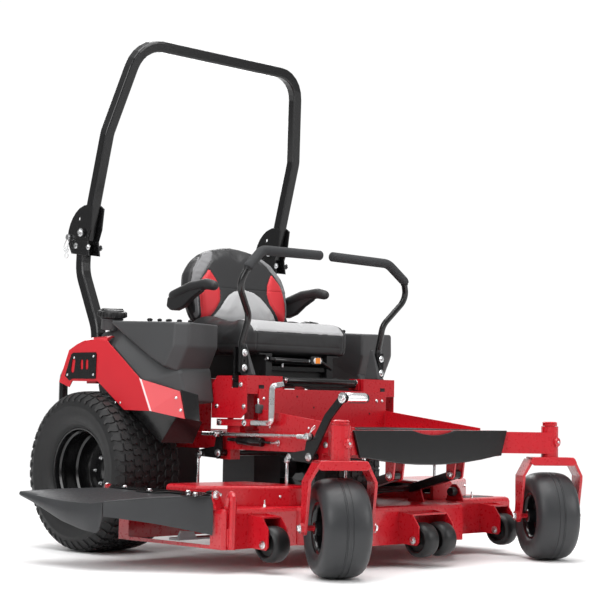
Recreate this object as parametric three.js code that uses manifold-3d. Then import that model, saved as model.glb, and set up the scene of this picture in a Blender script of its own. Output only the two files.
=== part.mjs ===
// A commercial zero turn mower: welded frame on two drive wheels and two front casters, a seat under a folding
// roll bar, two lap bars and a three-blade side-discharge deck. Millimetres, +Z up, front towards -Y.
// The operator's right side is -X. Pieces are drawn with y = 0 at the rear axle and x = 0 on the centre line.
import * as THREE from 'three';
import { mergeVertices } from 'three/addons/utils/BufferGeometryUtils.js';
import { ConvexGeometry } from 'three/addons/geometries/ConvexGeometry.js';
import Module from 'manifold-3d';

const wasm = await Module();
wasm.setup();

// ---------------------------------------------------------------- driving dimensions
const GAP = 0.3;
const REAR_TYRE = { r: 305, half: 152.5, x: 560 };
const REAR_AXLE_Z = REAR_TYRE.r;
const CASTER_TYRE = { r: 165, half: 82.5, x: 570, y: -1250 };
const CASTER_PIVOT_Y = -1275;
const CASTER_TREAD = [[83, 56], [92, 66], [130, CASTER_TYRE.half], [157, 68], [CASTER_TYRE.r, 38]];
const CASTER_TURN = { left: -33, right: -30 }; // degrees about each stem: the casters stand as a turn left them
const HEAD_TUBE = { r: 32.5, bore: 20, low: 382, high: 503 };
const STEM_R = 19;
const RAIL = { inner: 300, outer: 360, low: 400, high: 460, front: -1129.7, rear: 560 };
const BEAM = { front: -1180, back: -1130, low: 400, high: 480, half: 415 };
const COVER_DEPTH = 12;
const DECK = { half: 775, front: -935, nose: -1110, rear: -375, low: 80, top: 215, wall: 5 };
const SPINDLES = { right: [-500, -655], centre: [0, -835], left: [500, -655] };
const BLADE_R = 258;
const PULLEY_R = 70;
const ROLLER = { r: 62, half: 37, bore: 9, z: 98 };
const CHUTE_HINGE = { x: -782, z: 262 };
const CHUTE_TIP = { x: -1060 };
const ROPS = { x: 515, tube: 46, pivotY: 190, pivotZ: 1240 };
const HOOP_TUBE = 44.6;
const LAP_BAR_R = 12.5;
const GRIP_R = 18.5;
const LIFT_X = 388;
const FRONT_CRANK = { y: -948, z: 386 };
const REAR_CRANK = { y: -470, z: 386 };
const PUSH_ARM = { x: 165, y: -1150, z: 325, rearY: -945, rearZ: 265 };

// The origin is on the ground, in the middle of the machine's footprint.
const FRONT_Y = Math.min(...Object.values(CASTER_TURN).map((degrees) => {
  const angle = THREE.MathUtils.degToRad(Math.abs(degrees));
  const reach = Math.max(...CASTER_TREAD.map(([r, a]) => r * Math.cos(angle) + a * Math.sin(angle)));
  return CASTER_PIVOT_Y + (CASTER_TYRE.y - CASTER_PIVOT_Y) * Math.cos(angle) - reach;
}));
const GUARD = { y: 585, r: 19, half: 330 };
const REAR_Y = GUARD.y + GUARD.r;
const ORIGIN = {
  x: (CHUTE_TIP.x + DECK.half) / 2,
  y: (FRONT_Y + REAR_Y) / 2,
};

// ---------------------------------------------------------------- materials
const paint = (color, roughness, metalness) => new THREE.MeshStandardMaterial({ color, roughness, metalness });
const MATERIALS = {
  red: paint(0xb80f16, 0.35, 0.1),
  black: paint(0x151515, 0.4, 0.2),
  plastic: paint(0x3c3d3f, 0.6, 0),
  rubber: paint(0x252525, 0.85, 0),
  vinyl: paint(0x2b2b2c, 0.7, 0),
  foam: paint(0x333436, 0.8, 0),
  zinc: paint(0xb5b8ba, 0.35, 0.9),
  cast: paint(0x6d6f71, 0.5, 0.7),
};

// ---------------------------------------------------------------- solids
const v3 = (x, y, z) => new THREE.Vector3(x, y, z);
const AXES = { x: v3(1, 0, 0), y: v3(0, 1, 0), z: v3(0, 0, 1) };

function signedVolume(position, index) {
  const a = v3();
  const b = v3();
  const c = v3();
  let total = 0;
  for (let i = 0; i < index.length; i += 3) {
    a.fromBufferAttribute(position, index[i]);
    b.fromBufferAttribute(position, index[i + 1]);
    c.fromBufferAttribute(position, index[i + 2]);
    total += a.dot(b.cross(c));
  }
  return total;
}

// A closed three.js geometry as a solid, with its faces pointing out.
function solid(geometry) {
  const bare = new THREE.BufferGeometry();
  bare.setAttribute('position', geometry.getAttribute('position'));
  if (geometry.index) bare.setIndex(geometry.index);
  const merged = mergeVertices(bare, 1e-3);
  const source = merged.index.array;
  const kept = [];
  for (let i = 0; i < source.length; i += 3) {
    const [a, b, c] = [source[i], source[i + 1], source[i + 2]];
    if (a !== b && b !== c && a !== c) kept.push(a, b, c);
  }
  const position = merged.getAttribute('position');
  if (signedVolume(position, kept) < 0) kept.reverse();
  const mesh = new wasm.Mesh({
    numProp: 3,
    vertProperties: Float32Array.from(position.array),
    triVerts: Uint32Array.from(kept),
  });
  return new wasm.Manifold(mesh);
}

const join = (...solids) => solids.reduce((whole, piece) => whole.add(piece));
const cut = (body, ...tools) => tools.reduce((rest, tool) => rest.subtract(tool), body);

// A block between two opposite corners.
function block(x0, x1, y0, y1, z0, z1) {
  const box = new THREE.BoxGeometry(Math.abs(x1 - x0), Math.abs(y1 - y0), Math.abs(z1 - z0));
  return solid(box.translate((x0 + x1) / 2, (y0 + y1) / 2, (z0 + z1) / 2));
}

// A round bar between two points; r1 is its radius at the second point.
function rod(from, to, r, sides = 16, r1 = r) {
  const start = v3(...from);
  const run = v3(...to).sub(start);
  const bar = new THREE.CylinderGeometry(r1, r, run.length(), sides);
  const turn = new THREE.Quaternion().setFromUnitVectors(AXES.y, run.clone().normalize());
  bar.applyQuaternion(turn);
  return solid(bar.translate(...start.addScaledVector(run, 0.5).toArray()));
}

// A plate cut to an outline: across 'x' the points are (y, z), across 'y' (x, z), and across 'z' (x, y).
function plate(points, across, from, to, bevel = 0) {
  const shape = new THREE.Shape(points.map(([u, v]) => new THREE.Vector2(u, v)));
  const geometry = new THREE.ExtrudeGeometry(shape, {
    depth: to - from - 2 * bevel,
    bevelEnabled: bevel > 0,
    bevelThickness: bevel,
    bevelSize: bevel,
    bevelOffset: -bevel,
    bevelSegments: 2,
    curveSegments: 6,
  });
  geometry.translate(0, 0, from + bevel);
  const basis = new THREE.Matrix4();
  if (across === 'x') basis.makeBasis(AXES.y, AXES.z, AXES.x);
  if (across === 'y') basis.makeBasis(AXES.x, AXES.z, AXES.y);
  return solid(geometry.applyMatrix4(basis));
}

const hull = (points) => solid(new ConvexGeometry(points.map((p) => v3(...p))));

// Points along an arc in a plane, from one angle to another in degrees.
function arc(cu, cv, r, from, to, steps) {
  return Array.from({ length: steps + 1 }, (_, i) => {
    const angle = THREE.MathUtils.degToRad(from + ((to - from) * i) / steps);
    return [cu + r * Math.cos(angle), cv + r * Math.sin(angle)];
  });
}

// A turned ring or disc: profile points are (radius, distance along x). A flat faces straight down, so that
// the stated radius is the distance from the axle to the ground.
function turned(profile, sides, centre, apothem = false) {
  const grow = apothem ? 1 / Math.cos(Math.PI / sides) : 1;
  const points = profile.map(([r, along]) => new THREE.Vector2(r * grow, along));
  const onAxis = profile[0][0] === 0;
  if (!onAxis) points.push(points[0].clone());
  const geometry = new THREE.LatheGeometry(points, sides, Math.PI / sides);
  geometry.rotateZ(-Math.PI / 2);
  return solid(geometry.translate(...centre));
}

// A path of straight runs joined by round bends, stepped only where it turns. The section's first axis is
// kept square to `side` all the way along.
class BentPath extends THREE.Curve {
  constructor(corners, bend, steps, side) {
    super();
    this.side = v3(...side);
    this.points = [];
    const last = corners.length - 1;
    corners.forEach((corner, i) => {
      const at = v3(...corner);
      if (i === 0 || i === last) {
        this.points.push(at);
        return;
      }
      const back = v3(...corners[i - 1]).sub(at).normalize();
      const ahead = v3(...corners[i + 1]).sub(at).normalize();
      const half = back.angleTo(ahead) / 2;
      const reach = bend / Math.tan(half);
      const centre = back.clone().add(ahead).normalize().multiplyScalar(bend / Math.sin(half)).add(at);
      const spoke = back.multiplyScalar(reach).add(at).sub(centre);
      const lastSpoke = ahead.multiplyScalar(reach).add(at).sub(centre);
      const turnAxis = spoke.clone().cross(lastSpoke).normalize();
      const sweep = Math.PI - 2 * half;
      for (let k = 0; k <= steps; k += 1) {
        this.points.push(spoke.clone().applyAxisAngle(turnAxis, (sweep * k) / steps).add(centre));
      }
    });
  }

  getPoint(t) {
    return this.points[Math.round(t * (this.points.length - 1))].clone();
  }

  getPointAt(u) {
    return this.getPoint(u);
  }

  getTangentAt(u) {
    const i = Math.round(u * (this.points.length - 1));
    const before = this.points[Math.max(i - 1, 0)];
    const after = this.points[Math.min(i + 1, this.points.length - 1)];
    return after.clone().sub(before).normalize();
  }

  computeFrenetFrames(segments) {
    const tangents = [];
    const normals = [];
    const binormals = [];
    for (let i = 0; i <= segments; i += 1) {
      const tangent = this.getTangentAt(i / segments);
      const normal = this.side.clone().addScaledVector(tangent, -tangent.dot(this.side)).normalize();
      tangents.push(tangent);
      normals.push(normal);
      binormals.push(tangent.clone().cross(normal));
    }
    return { tangents, normals, binormals };
  }
}

function circleSection(r, sides) {
  const points = arc(0, 0, r, 0, 360 - 360 / sides, sides - 1);
  return new THREE.Shape(points.map(([u, v]) => new THREE.Vector2(u, v)));
}

function squareSection(width, chamfer) {
  const a = width / 2;
  const b = a - chamfer;
  const points = [[a, b], [b, a], [-b, a], [-a, b], [-a, -b], [-b, -a], [b, -a], [a, -b]];
  return new THREE.Shape(points.map(([u, v]) => new THREE.Vector2(u, v)));
}

// A bar of the given section along straight runs with round bends.
function bent(corners, section, bend, steps = 5, side = [1, 0, 0]) {
  const path = new BentPath(corners, bend, steps, side);
  return solid(new THREE.ExtrudeGeometry(section, { steps: path.points.length - 1, extrudePath: path }));
}

// ---------------------------------------------------------------- assembly
const group = new THREE.Group();
group.position.set(-ORIGIN.x, -ORIGIN.y, 0);

function geometryOf(body, mirrored) {
  const { vertProperties, triVerts } = body.getMesh();
  const position = Float32Array.from(vertProperties);
  const index = Array.from(triVerts);
  if (mirrored) {
    for (let i = 0; i < position.length; i += 3) position[i] = -position[i];
    index.reverse();
  }
  const geometry = new THREE.BufferGeometry();
  geometry.setAttribute('position', new THREE.BufferAttribute(position, 3));
  geometry.setIndex(index);
  geometry.computeVertexNormals();
  return geometry;
}

function add(name, material, body, mirrored = false) {
  const mesh = new THREE.Mesh(geometryOf(body, mirrored), MATERIALS[material]);
  mesh.name = name;
  group.add(mesh);
}

// A piece drawn on the left side (+X) and its mirror image on the right.
function addPair(name, material, body) {
  add(`${name}_left`, material, body);
  add(`${name}_right`, material, body, true);
}

// The same, with each side turned about its own caster stem.
function addCasters(name, material, body) {
  const about = (degrees) => body.translate([-CASTER_TYRE.x, -CASTER_PIVOT_Y, 0]).rotate([0, 0, degrees])
    .translate([CASTER_TYRE.x, CASTER_PIVOT_Y, 0]);
  add(`${name}_left`, material, about(CASTER_TURN.left));
  add(`${name}_right`, material, about(-CASTER_TURN.right), true);
}

// ---------------------------------------------------------------- frame
const SEAT_HINGE = { y: -590, z: 652, r: 14, half: 190 };
const CROSS_BEAM = { low: 640, high: 700, front: 80, back: 140, half: 545 };

function mainFrame() {
  const bearing = { inner: 306, outer: 354, reach: 28, low: 362 };
  const member = { low: RAIL.low + 2, high: RAIL.high - 2 };
  const parts = [-1, 1].flatMap((s) => [
    block(s * RAIL.inner, s * RAIL.outer, RAIL.front, RAIL.rear, RAIL.low, RAIL.high),
    // tower under the roll bar
    block(s * RAIL.inner, s * RAIL.outer, CROSS_BEAM.front, CROSS_BEAM.back, RAIL.high - 1, CROSS_BEAM.low + 1),
    // seat tower with the ear of the seat hinge
    block(s * 235, s * 255, -600, -560, RAIL.high - 20, 640),
    block(s * 210, s * 255, -615, -565, 630, 674),
    block(s * 235, s * 301, -600, -560, RAIL.high - 50, RAIL.high - 4),
    // rear seat stop
    block(s * 180, s * 220, -190, -150, RAIL.high - 2, 666),
    // fender bracket
    block(s * (CROSS_BEAM.half - 1), s * 635.7, 88, 128, 652, 700),
    // bearing blocks of the lift shafts
    ...[FRONT_CRANK, REAR_CRANK].map(({ y }) => block(s * bearing.inner, s * bearing.outer,
      y - bearing.reach, y + bearing.reach, bearing.low, RAIL.low + 1)),
  ]);
  const crossMembers = [
    [-1120, -1070, member.high],
    [-640, -590, member.high],
    [-190, -140, RAIL.high],
    [108, 165, member.high],
    [500, 545, member.high],
  ].map(([y0, y1, z1]) => block(-RAIL.inner - 1, RAIL.inner + 1, y0, y1, member.low, z1));
  const crossBeam = block(-CROSS_BEAM.half, CROSS_BEAM.half, CROSS_BEAM.front, CROSS_BEAM.back,
    CROSS_BEAM.low, CROSS_BEAM.high);
  // square tube that holds the parking brake lever, on the right rail
  const leverTube = join(block(-392, -366, -640, -460, 488, 513), block(-374, -345, -570, -530, 452, 500));
  const shafts = [FRONT_CRANK, REAR_CRANK].map(({ y, z }) => rod([-370, y, z], [370, y, z], 13.2, 10));
  const hingeEnd = SEAT_HINGE.half + 70;
  const hinge = rod([-hingeEnd, SEAT_HINGE.y, SEAT_HINGE.z], [hingeEnd, SEAT_HINGE.y, SEAT_HINGE.z],
    SEAT_HINGE.r + 1.5, 10);
  return cut(join(...parts, ...crossMembers, crossBeam, leverTube), ...shafts, hinge);
}

function frontBeam() {
  const reach = CASTER_TYRE.x;
  const half = [[0, BEAM.front], [BEAM.half, BEAM.front], [reach - 23, CASTER_PIVOT_Y - 23],
    [reach + 23, CASTER_PIVOT_Y + 23], [BEAM.half + 65, BEAM.back], [0, BEAM.back]];
  const outline = [...half, ...half.slice(1, -1).reverse().map(([x, y]) => [-x, y])];
  const heads = [-1, 1].map((s) => rod([s * reach, CASTER_PIVOT_Y, HEAD_TUBE.low],
    [s * reach, CASTER_PIVOT_Y, HEAD_TUBE.high], HEAD_TUBE.r, 16));
  const bores = [-1, 1].map((s) => rod([s * reach, CASTER_PIVOT_Y, HEAD_TUBE.low - 5],
    [s * reach, CASTER_PIVOT_Y, HEAD_TUBE.high + 5], HEAD_TUBE.bore, 12));
  const hangers = [-1, 1].flatMap((s) => [-1, 1].map((t) => {
    const x = s * PUSH_ARM.x + t * 24;
    return plate([[BEAM.front + 2, BEAM.low + 2], [BEAM.back - 2, BEAM.low + 2], [PUSH_ARM.y + 19, PUSH_ARM.z],
      ...arc(PUSH_ARM.y, PUSH_ARM.z, 19, -30, -150, 5)], 'x', x - 4, x + 4);
  }));
  const pins = [-1, 1].map((s) => rod([s * PUSH_ARM.x - 32, PUSH_ARM.y, PUSH_ARM.z],
    [s * PUSH_ARM.x + 32, PUSH_ARM.y, PUSH_ARM.z], 8, 8));
  const sleeve = block(-382, 382, BEAM.front, BEAM.back, BEAM.low - 11, BEAM.high + 5);
  return cut(join(plate(outline, 'z', BEAM.low, BEAM.high), sleeve, ...heads, ...hangers, ...pins), ...bores);
}

function frontCover() {
  const top = BEAM.high + 5;
  const corner = { x: 385, z: 391 };
  const bulge = arc(0, 2673, 2311, -99, -81, 8);
  const dip = arc(0, top + 387, 404, -73.3, -106.7, 8);
  const outline = [[-corner.x, corner.z], ...bulge, [corner.x, corner.z], [BEAM.half + 3, top], ...dip,
    [-BEAM.half - 3, top]];
  return plate(outline, 'y', BEAM.front - COVER_DEPTH, BEAM.front - GAP, 3);
}

const PLATFORM = { half: 345, front: -1122, back: -640, low: 479, sheet: 5, top: 626 };

function footPlatform() {
  const { half, front, back, low, sheet, top } = PLATFORM;
  const floor = block(-half, half, front, back, low, low + sheet);
  const bulkhead = block(-half, half, back, back + sheet + GAP, low, top);
  const parts = [floor, bulkhead];
  const flange = [[front, low], [front, low + 14], [back + 4, low + 73], [back + 4, low]];
  [-1, 1].forEach((s) => {
    const middle = s * (half - sheet / 2);
    parts.push(plate(flange, 'x', middle - sheet / 2, middle + sheet / 2));
    parts.push(block(s * (RAIL.inner + 6), s * half, front, back, RAIL.high + GAP, low + 1));
  });
  return join(...parts);
}

function controlConsole() {
  // sheet box open at the back and top, with a slot for the lever base
  const side = [[-632, 606], [-632, 673], [-470, 673], [-440, 640], [-440, 516], [-600, 516], [-632, 540]];
  const walls = join(
    plate(side, 'x', 397, 401),
    block(221, 401, -634, -630, 606, 674),
    block(221, 401, -631, -618, 606, 610),
    block(221, 225, -632, -618, 606, 674),
    block(361, 398, -520, -490, 516, 520),
    plate([[361, 452], [361, 520], [365, 520], [365, 452]], 'y', -520, -490),
  );
  return cut(walls, block(390, 410, -588, -548, 628, 690));
}

function rearGuard() {
  const z = { foot: 385, top: 730, mid: 570 };
  const corners = [[-GUARD.half, GUARD.y, z.foot], [-GUARD.half, GUARD.y, z.top],
    [GUARD.half, GUARD.y, z.top], [GUARD.half, GUARD.y, z.foot]];
  const hoop = bent(corners, circleSection(GUARD.r, 8), 80, 5, [0, 1, 0]);
  const rung = rod([-GUARD.half, GUARD.y, z.mid], [GUARD.half, GUARD.y, z.mid], 13, 8);
  const pads = [-1, 1].map((s) => block(s * 304, s * 356, RAIL.rear + GAP, GUARD.y, 404, 456));
  return join(hoop, rung, ...pads);
}

// ---------------------------------------------------------------- side pods
function fuelTank() {
  const pod = hull([
    [392, -462, 861], [548, -479, 865], [588, -440, 864], [600, -385, 868], [596, -60, 880], [392, -60, 884],
    [392, -462, 776], [553, -476, 776], [594, -440, 776],
    [404, -425, 684], [560, -425, 682], [596, -390, 703], [600, -316, 737], [598, -183, 808], [420, -200, 700],
  ]);
  const body = hull([
    [620, -125, 778], [622, -306, 648], [552, -425, 604], [540, -460, 572], [404, -460, 572], [404, -440, 690],
    [556, -440, 684], [404, -340, 560], [588, -340, 604], [404, -200, 640], [615, -200, 650],
    [404, 70, 705], [590, 70, 705], [570, 68, 770], [525, 70, 838], [404, 70, 868], [404, -300, 868],
    [548, -135, 872],
  ]);
  const neck = rod([545, -10, 850], [549, -18, 897.5], 40, 12);
  return join(pod, body, neck);
}

function fuelCap() {
  const up = v3(4, -8, 47.5).normalize();
  const at = v3(549, -18, 897.8);
  const top = at.clone().addScaledVector(up, 30);
  const grip = at.clone().addScaledVector(up, 24);
  const ribs = Array.from({ length: 4 }, (_, i) => {
    const angle = (i * Math.PI) / 2;
    const out = v3(Math.cos(angle), Math.sin(angle), 0).multiplyScalar(54);
    const foot = at.clone().add(out).addScaledVector(up, 3);
    return rod(foot.toArray(), foot.clone().addScaledVector(up, 20).toArray(), 7, 6);
  });
  return join(rod(at.toArray(), grip.toArray(), 55, 12), rod(at.toArray(), top.toArray(), 44, 8), ...ribs);
}

function fender() {
  const main = plate([[192, 644], [132, 768], [81, 790], [37, 803], [-44, 808], [-104, 801], [-310, 655],
    [-372, 538], [-219, 540], [-55, 646], [107, 648], [126, 624]], 'x', 636, 640);
  const nose = hull([[640, -310, 655], [636, -310, 655], [640, -372, 538], [636, -372, 538],
    [560, -444, 612], [556, -441, 612], [560, -475, 511], [556, -472, 511]]);
  const hood = hull([[640, 81, 786], [640, -98, 794], [636, 81, 780], [636, -98, 790],
    [628, 60, 802], [628, -95, 812], [590, 50, 818], [590, -80, 822], [590, 50, 814], [590, -80, 818]]);
  const lip = hull([[590, 50, 818], [590, -80, 822], [590, 50, 814], [590, -80, 818],
    [584, 50, 814], [584, -80, 818], [584, 50, 810], [584, -80, 814]]);
  return join(main, nose, hood, lip);
}

// ---------------------------------------------------------------- roll bar
const LOCK_PIN = { y: 273, z: 1226, r: 8 };

function ropsLeg() {
  const leg = bent([[ROPS.x, 110, CROSS_BEAM.high + GAP], [ROPS.x, 110, 855], [ROPS.x, 222, 1085],
    [ROPS.x, 217, 1197]], squareSection(ROPS.tube, 5), 150, 4);
  const foot = block(ROPS.x - 26, ROPS.x + 28, 82, 138, CROSS_BEAM.high + GAP, 712);
  const outline = [[150, 1146], [262, 1160], [278, 1190], ...arc(150, 1215, 140, 5, 62, 5), [183, 1349],
    [150, 1350], [128, 1335], [140, 1250], [160, 1205]];
  const hole = [LOCK_PIN, { y: 216, z: 1297, r: 7 }];
  const plates = [-1, 1].map((t) => {
    const x = ROPS.x + t * 26.5;
    return cut(plate(outline, 'x', x - 3.5, x + 3.5),
      ...hole.map((h) => rod([x - 9, h.y, h.z], [x + 9, h.y, h.z], h.r + 1, 8)));
  });
  const bolt = rod([ROPS.x - 38, ROPS.pivotY, ROPS.pivotZ], [ROPS.x + 38, ROPS.pivotY, ROPS.pivotZ], 8, 8);
  const heads = [-1, 1].map((t) => rod([ROPS.x + t * 29, ROPS.pivotY, ROPS.pivotZ],
    [ROPS.x + t * 40, ROPS.pivotY, ROPS.pivotZ], 14, 6));
  return join(leg, foot, ...plates, bolt, ...heads);
}

function ropsHoop() {
  const side = (s) => [[s * ROPS.x, 199, 1211], [s * ROPS.x, 84, 1633], [s * 432, -8, 1996]];
  const corners = [...side(-1), ...side(1).reverse()];
  const tube = bent(corners, squareSection(HOOP_TUBE, 5), 130, 6, [0, 1, 0.22]);
  const bores = [-1, 1].map((s) => rod([s * ROPS.x - 40, ROPS.pivotY, ROPS.pivotZ],
    [s * ROPS.x + 40, ROPS.pivotY, ROPS.pivotZ], 9.2, 8));
  return cut(tube, ...bores);
}

function ropsPin() {
  const { y, z, r } = LOCK_PIN;
  return join(rod([ROPS.x - 36, y, z], [ROPS.x + 44, y, z], r, 8), rod([ROPS.x + 34, y, z],
    [ROPS.x + 44, y, z], 13, 8));
}

// ---------------------------------------------------------------- drive
function engineBlock() {
  const crankcase = block(-150, 150, 210, 440, 461, 600);
  const cylinders = [-1, 1].map((s) => hull([
    [s * 60, 360, 480], [s * 60, 360, 590], [s * 150, 300, 480], [s * 150, 300, 590],
    [s * 190, 490, 480], [s * 190, 490, 590], [s * 265, 410, 480], [s * 265, 410, 590],
  ]));
  const crank = rod([0, 300, 470], [0, 300, 300], 24, 10);
  const clutch = join(rod([0, 300, 388], [0, 300, 330], 85, 16), rod([0, 300, 330], [0, 300, 305], 70, 16));
  const sump = rod([0, 300, 400], [0, 300, 470], 120, 12);
  return join(crankcase, ...cylinders, crank, clutch, sump);
}

function engineShroud() {
  const housing = plate([...arc(0, 300, 165, -30, 210, 10), [-140, 160], [140, 160]], 'z', 600.3, 745, 18);
  const screen = rod([0, 300, 744], [0, 300, 762], 130, 16);
  const cleaner = rod([-150, 440, 800], [150, 440, 800], 72, 12);
  const bracket = block(-60, 60, 380, 450, 700, 760);
  return join(housing, screen, cleaner, bracket);
}

function muffler() {
  const can = rod([-165, 514, 640], [165, 514, 640], 44, 12);
  const outlet = rod([140, 514, 640], [215, 524, 590], 17, 8);
  const stubs = [-1, 1].map((s) => rod([s * 140, 480, 640], [s * 160, 466, 591], 16, 8));
  return join(can, outlet, ...stubs);
}

function hydroDrive() {
  const pump = block(150, 299, -90, 105, 235, 399.5);
  const fan = rod([225, 10, 399], [225, 10, 452], 52, 12);
  const horn = rod([298, 0, REAR_AXLE_Z], [440, 0, REAR_AXLE_Z], 48, 12);
  return join(pump, fan, horn);
}

function rearTyre() {
  const half = [[161, 108], [169, 108], [180, 130], [225, REAR_TYRE.half], [268, 150], [295, 130],
    [REAR_TYRE.r, 88]];
  const profile = [...half, ...half.slice().reverse().map(([r, a]) => [r, -a])];
  return turned(profile, 28, [REAR_TYRE.x, 0, REAR_AXLE_Z], true);
}

function rearRim() {
  const profile = [[0, -6], [62, -6], [82, -32], [138, -32], [152, -18], [152, 116], [166, 116],
    [159.5, 107], [159.5, -107], [166, -116], [152, -116], [152, -40], [70, -40], [60, -60], [26, -60],
    [26, -119], [0, -119]];
  const holes = Array.from({ length: 8 }, (_, i) => {
    const angle = (i * Math.PI) / 4;
    const y = 112 * Math.cos(angle);
    const z = REAR_AXLE_Z + 112 * Math.sin(angle);
    return rod([REAR_TYRE.x - 60, y, z], [REAR_TYRE.x - 10, y, z], 15, 6);
  });
  return cut(turned(profile, 20, [REAR_TYRE.x, 0, REAR_AXLE_Z]), ...holes);
}

// ---------------------------------------------------------------- casters
function casterFork() {
  const { x, y } = CASTER_TYRE;
  const z = CASTER_TYRE.r;
  const outer = [[-118, z - 24], [-118, 318], [-86, 380], [86, 380], [118, 318], [118, z - 24]];
  const inner = [[108, z - 26], [108, 318], [80, 366], [-80, 366], [-108, 318], [-108, z - 26]];
  const crown = plate([...outer, ...inner].map(([u, v]) => [x + u, v]), 'y', CASTER_PIVOT_Y - 60, y + 60);
  const legOutline = [...arc(y, z, 24, 180, 360, 6), [y + 26, 300], [y + 18, 381],
    [CASTER_PIVOT_Y - 42, 381], [CASTER_PIVOT_Y - 36, 300]];
  const profile = plate(legOutline, 'x', x - 130, x + 130);
  const stem = rod([x, CASTER_PIVOT_Y, 370], [x, CASTER_PIVOT_Y, 512], STEM_R, 12);
  const cap = rod([x, CASTER_PIVOT_Y, HEAD_TUBE.high + 1], [x, CASTER_PIVOT_Y, 513], 28, 12);
  const washer = rod([x, CASTER_PIVOT_Y, 375], [x, CASTER_PIVOT_Y, HEAD_TUBE.low - 1], 30, 12);
  const axle = rod([x - 126, y, z], [x + 126, y, z], 9.5, 8);
  const nuts = [-1, 1].map((t) => rod([x + t * 117, y, z], [x + t * 128, y, z], 16, 6));
  return join(crown.intersect(profile), stem, cap, washer, axle, ...nuts);
}

function casterTyre() {
  const { x, y, r } = CASTER_TYRE;
  const half = CASTER_TREAD;
  return turned([...half, ...half.slice().reverse().map(([q, a]) => [q, -a])], 24, [x, y, r], true);
}

function casterRim() {
  const { x, y, r } = CASTER_TYRE;
  const half = [[10.3, 78], [24, 78], [24, 26], [72, 26], [72, 66], [86, 66], [82, 55]];
  return turned([...half, ...half.slice().reverse().map(([q, a]) => [q, -a])], 16, [x, y, r]);
}

// ---------------------------------------------------------------- seat
function seatPlatform() {
  const { y, z, r, half } = SEAT_HINGE;
  const parts = [
    block(-232, 232, -548, -150, 668, 676),
    rod([-half - 70, y, z], [half + 70, y, z], r, 10),
    plate([[-602, 640], [-602, 664], [-548, 676], [-540, 676], [-540, 668], [-578, 652]], 'x', -150, 150),
    block(-190, 190, -470, -180, 675, 700),
  ];
  [-1, 1].forEach((s) => {
    parts.push(block(s * 150, s * 182, -500, -170, 675, 764.5));
  });
  [-460, -220].forEach((at) => parts.push(rod([-170, at, 735], [170, at, 735], 12, 8)));
  return join(...parts);
}

const SEAT = { half: 292, front: -515, back: -112, low: 765 };

function seatCushion() {
  const outline = [...arc(-232, -455, 60, 180, 270, 4), ...arc(232, -455, 60, 270, 360, 4),
    ...arc(222, -172, 60, 0, 90, 4), ...arc(-222, -172, 60, 90, 180, 4)];
  return plate(outline, 'z', SEAT.low, 880, 26);
}

function seatBack() {
  const outline = [[-205, 0], [205, 0], ...arc(152, 150, 120, -30, 60, 5), ...arc(60, 205, 122, 50, 80, 3),
    ...arc(-60, 205, 122, 100, 130, 3), ...arc(-152, 150, 120, 120, 210, 5)];
  const slab = new THREE.Matrix4().makeRotationX(THREE.MathUtils.degToRad(-13));
  const lean = new THREE.Matrix4().makeTranslation(0, -196, 901).multiply(slab);
  const flat = new THREE.ExtrudeGeometry(new THREE.Shape(outline.map(([u, v]) => new THREE.Vector2(u, v))), {
    depth: 60, bevelEnabled: true, bevelThickness: 24, bevelSize: 24, bevelOffset: -24, bevelSegments: 2,
  });
  flat.applyMatrix4(new THREE.Matrix4().makeBasis(AXES.x, AXES.z, AXES.y));
  flat.translate(0, 24, 0);
  return solid(flat.applyMatrix4(lean));
}

const ARMREST = { y: -90, z: 962, inner: 280, outer: 328 };

function armrest() {
  const outline = [[-352, 1012], [-348, 1030], [-322, 1042], [-240, 1048], [-100, 1002], [-66, 985],
    [-60, 945], [-90, 932], [-150, 940], [-255, 1006], [-345, 1000]];
  return plate(outline, 'x', ARMREST.inner, ARMREST.outer, 9);
}

// ---------------------------------------------------------------- lap bars
const LEVER = { x: 373, y: -568, z: 632, swingZ: 702 };
const BAR_POINTS = [[LEVER.x, LEVER.y, 686], [LEVER.x, LEVER.y, 790], [366, -600, 894], [457, -641, 1004],
  [425, -658, 1072], [345, -642, 1137], [27, -634, 1142]];
const GRIP_START = 0.86;

function leverBase() {
  const { x, y, z } = LEVER;
  const boss = rod([x - 24, y + 4, z], [x + 22, y + 4, z], 17, 10);
  const upright = plate([[x - 20, z - 6], [x + 20, z - 6], [x + 17, 780], [x - 17, 780]], 'y', y + 14, y + 21);
  const pivot = rod([x, y + 20, LEVER.swingZ], [x, y + 28, LEVER.swingZ], 12, 6);
  return join(boss, upright, pivot);
}

function lapBarCore() {
  return bent(BAR_POINTS, circleSection(LAP_BAR_R, 8), 42, 3, [0, 1, 0]);
}

const gripStart = BAR_POINTS[3].map((v, i) => v + (BAR_POINTS[4][i] - v) * GRIP_START);

function lapBar() {
  return cut(lapBarCore(), block(-100, 60, -800, -500, 1000, 1200));
}

function lapGrip() {
  const path = [gripStart, BAR_POINTS[4], BAR_POINTS[5], BAR_POINTS[6]];
  const sleeve = bent(path, circleSection(GRIP_R, 10), 42, 3, [0, 1, 0]);
  return cut(sleeve, bent([...BAR_POINTS.slice(0, -1), [54, -634.8, 1141.5]],
    circleSection(LAP_BAR_R + 0.5, 8), 42, 3, [0, 1, 0]));
}

// ---------------------------------------------------------------- deck
function inset(outline, by) {
  const count = outline.length;
  const line = (i) => {
    const [x0, y0] = outline[i % count];
    const [x1, y1] = outline[(i + 1) % count];
    const length = Math.hypot(x1 - x0, y1 - y0);
    const n = [-(y1 - y0) / length, (x1 - x0) / length];
    return { n, c: n[0] * x0 + n[1] * y0 + by };
  };
  return outline.map((_, i) => {
    const a = line(i + count - 1);
    const b = line(i);
    const det = a.n[0] * b.n[1] - a.n[1] * b.n[0];
    return [(a.c * b.n[1] - b.c * a.n[1]) / det, (a.n[0] * b.c - b.n[0] * a.c) / det];
  });
}

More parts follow.
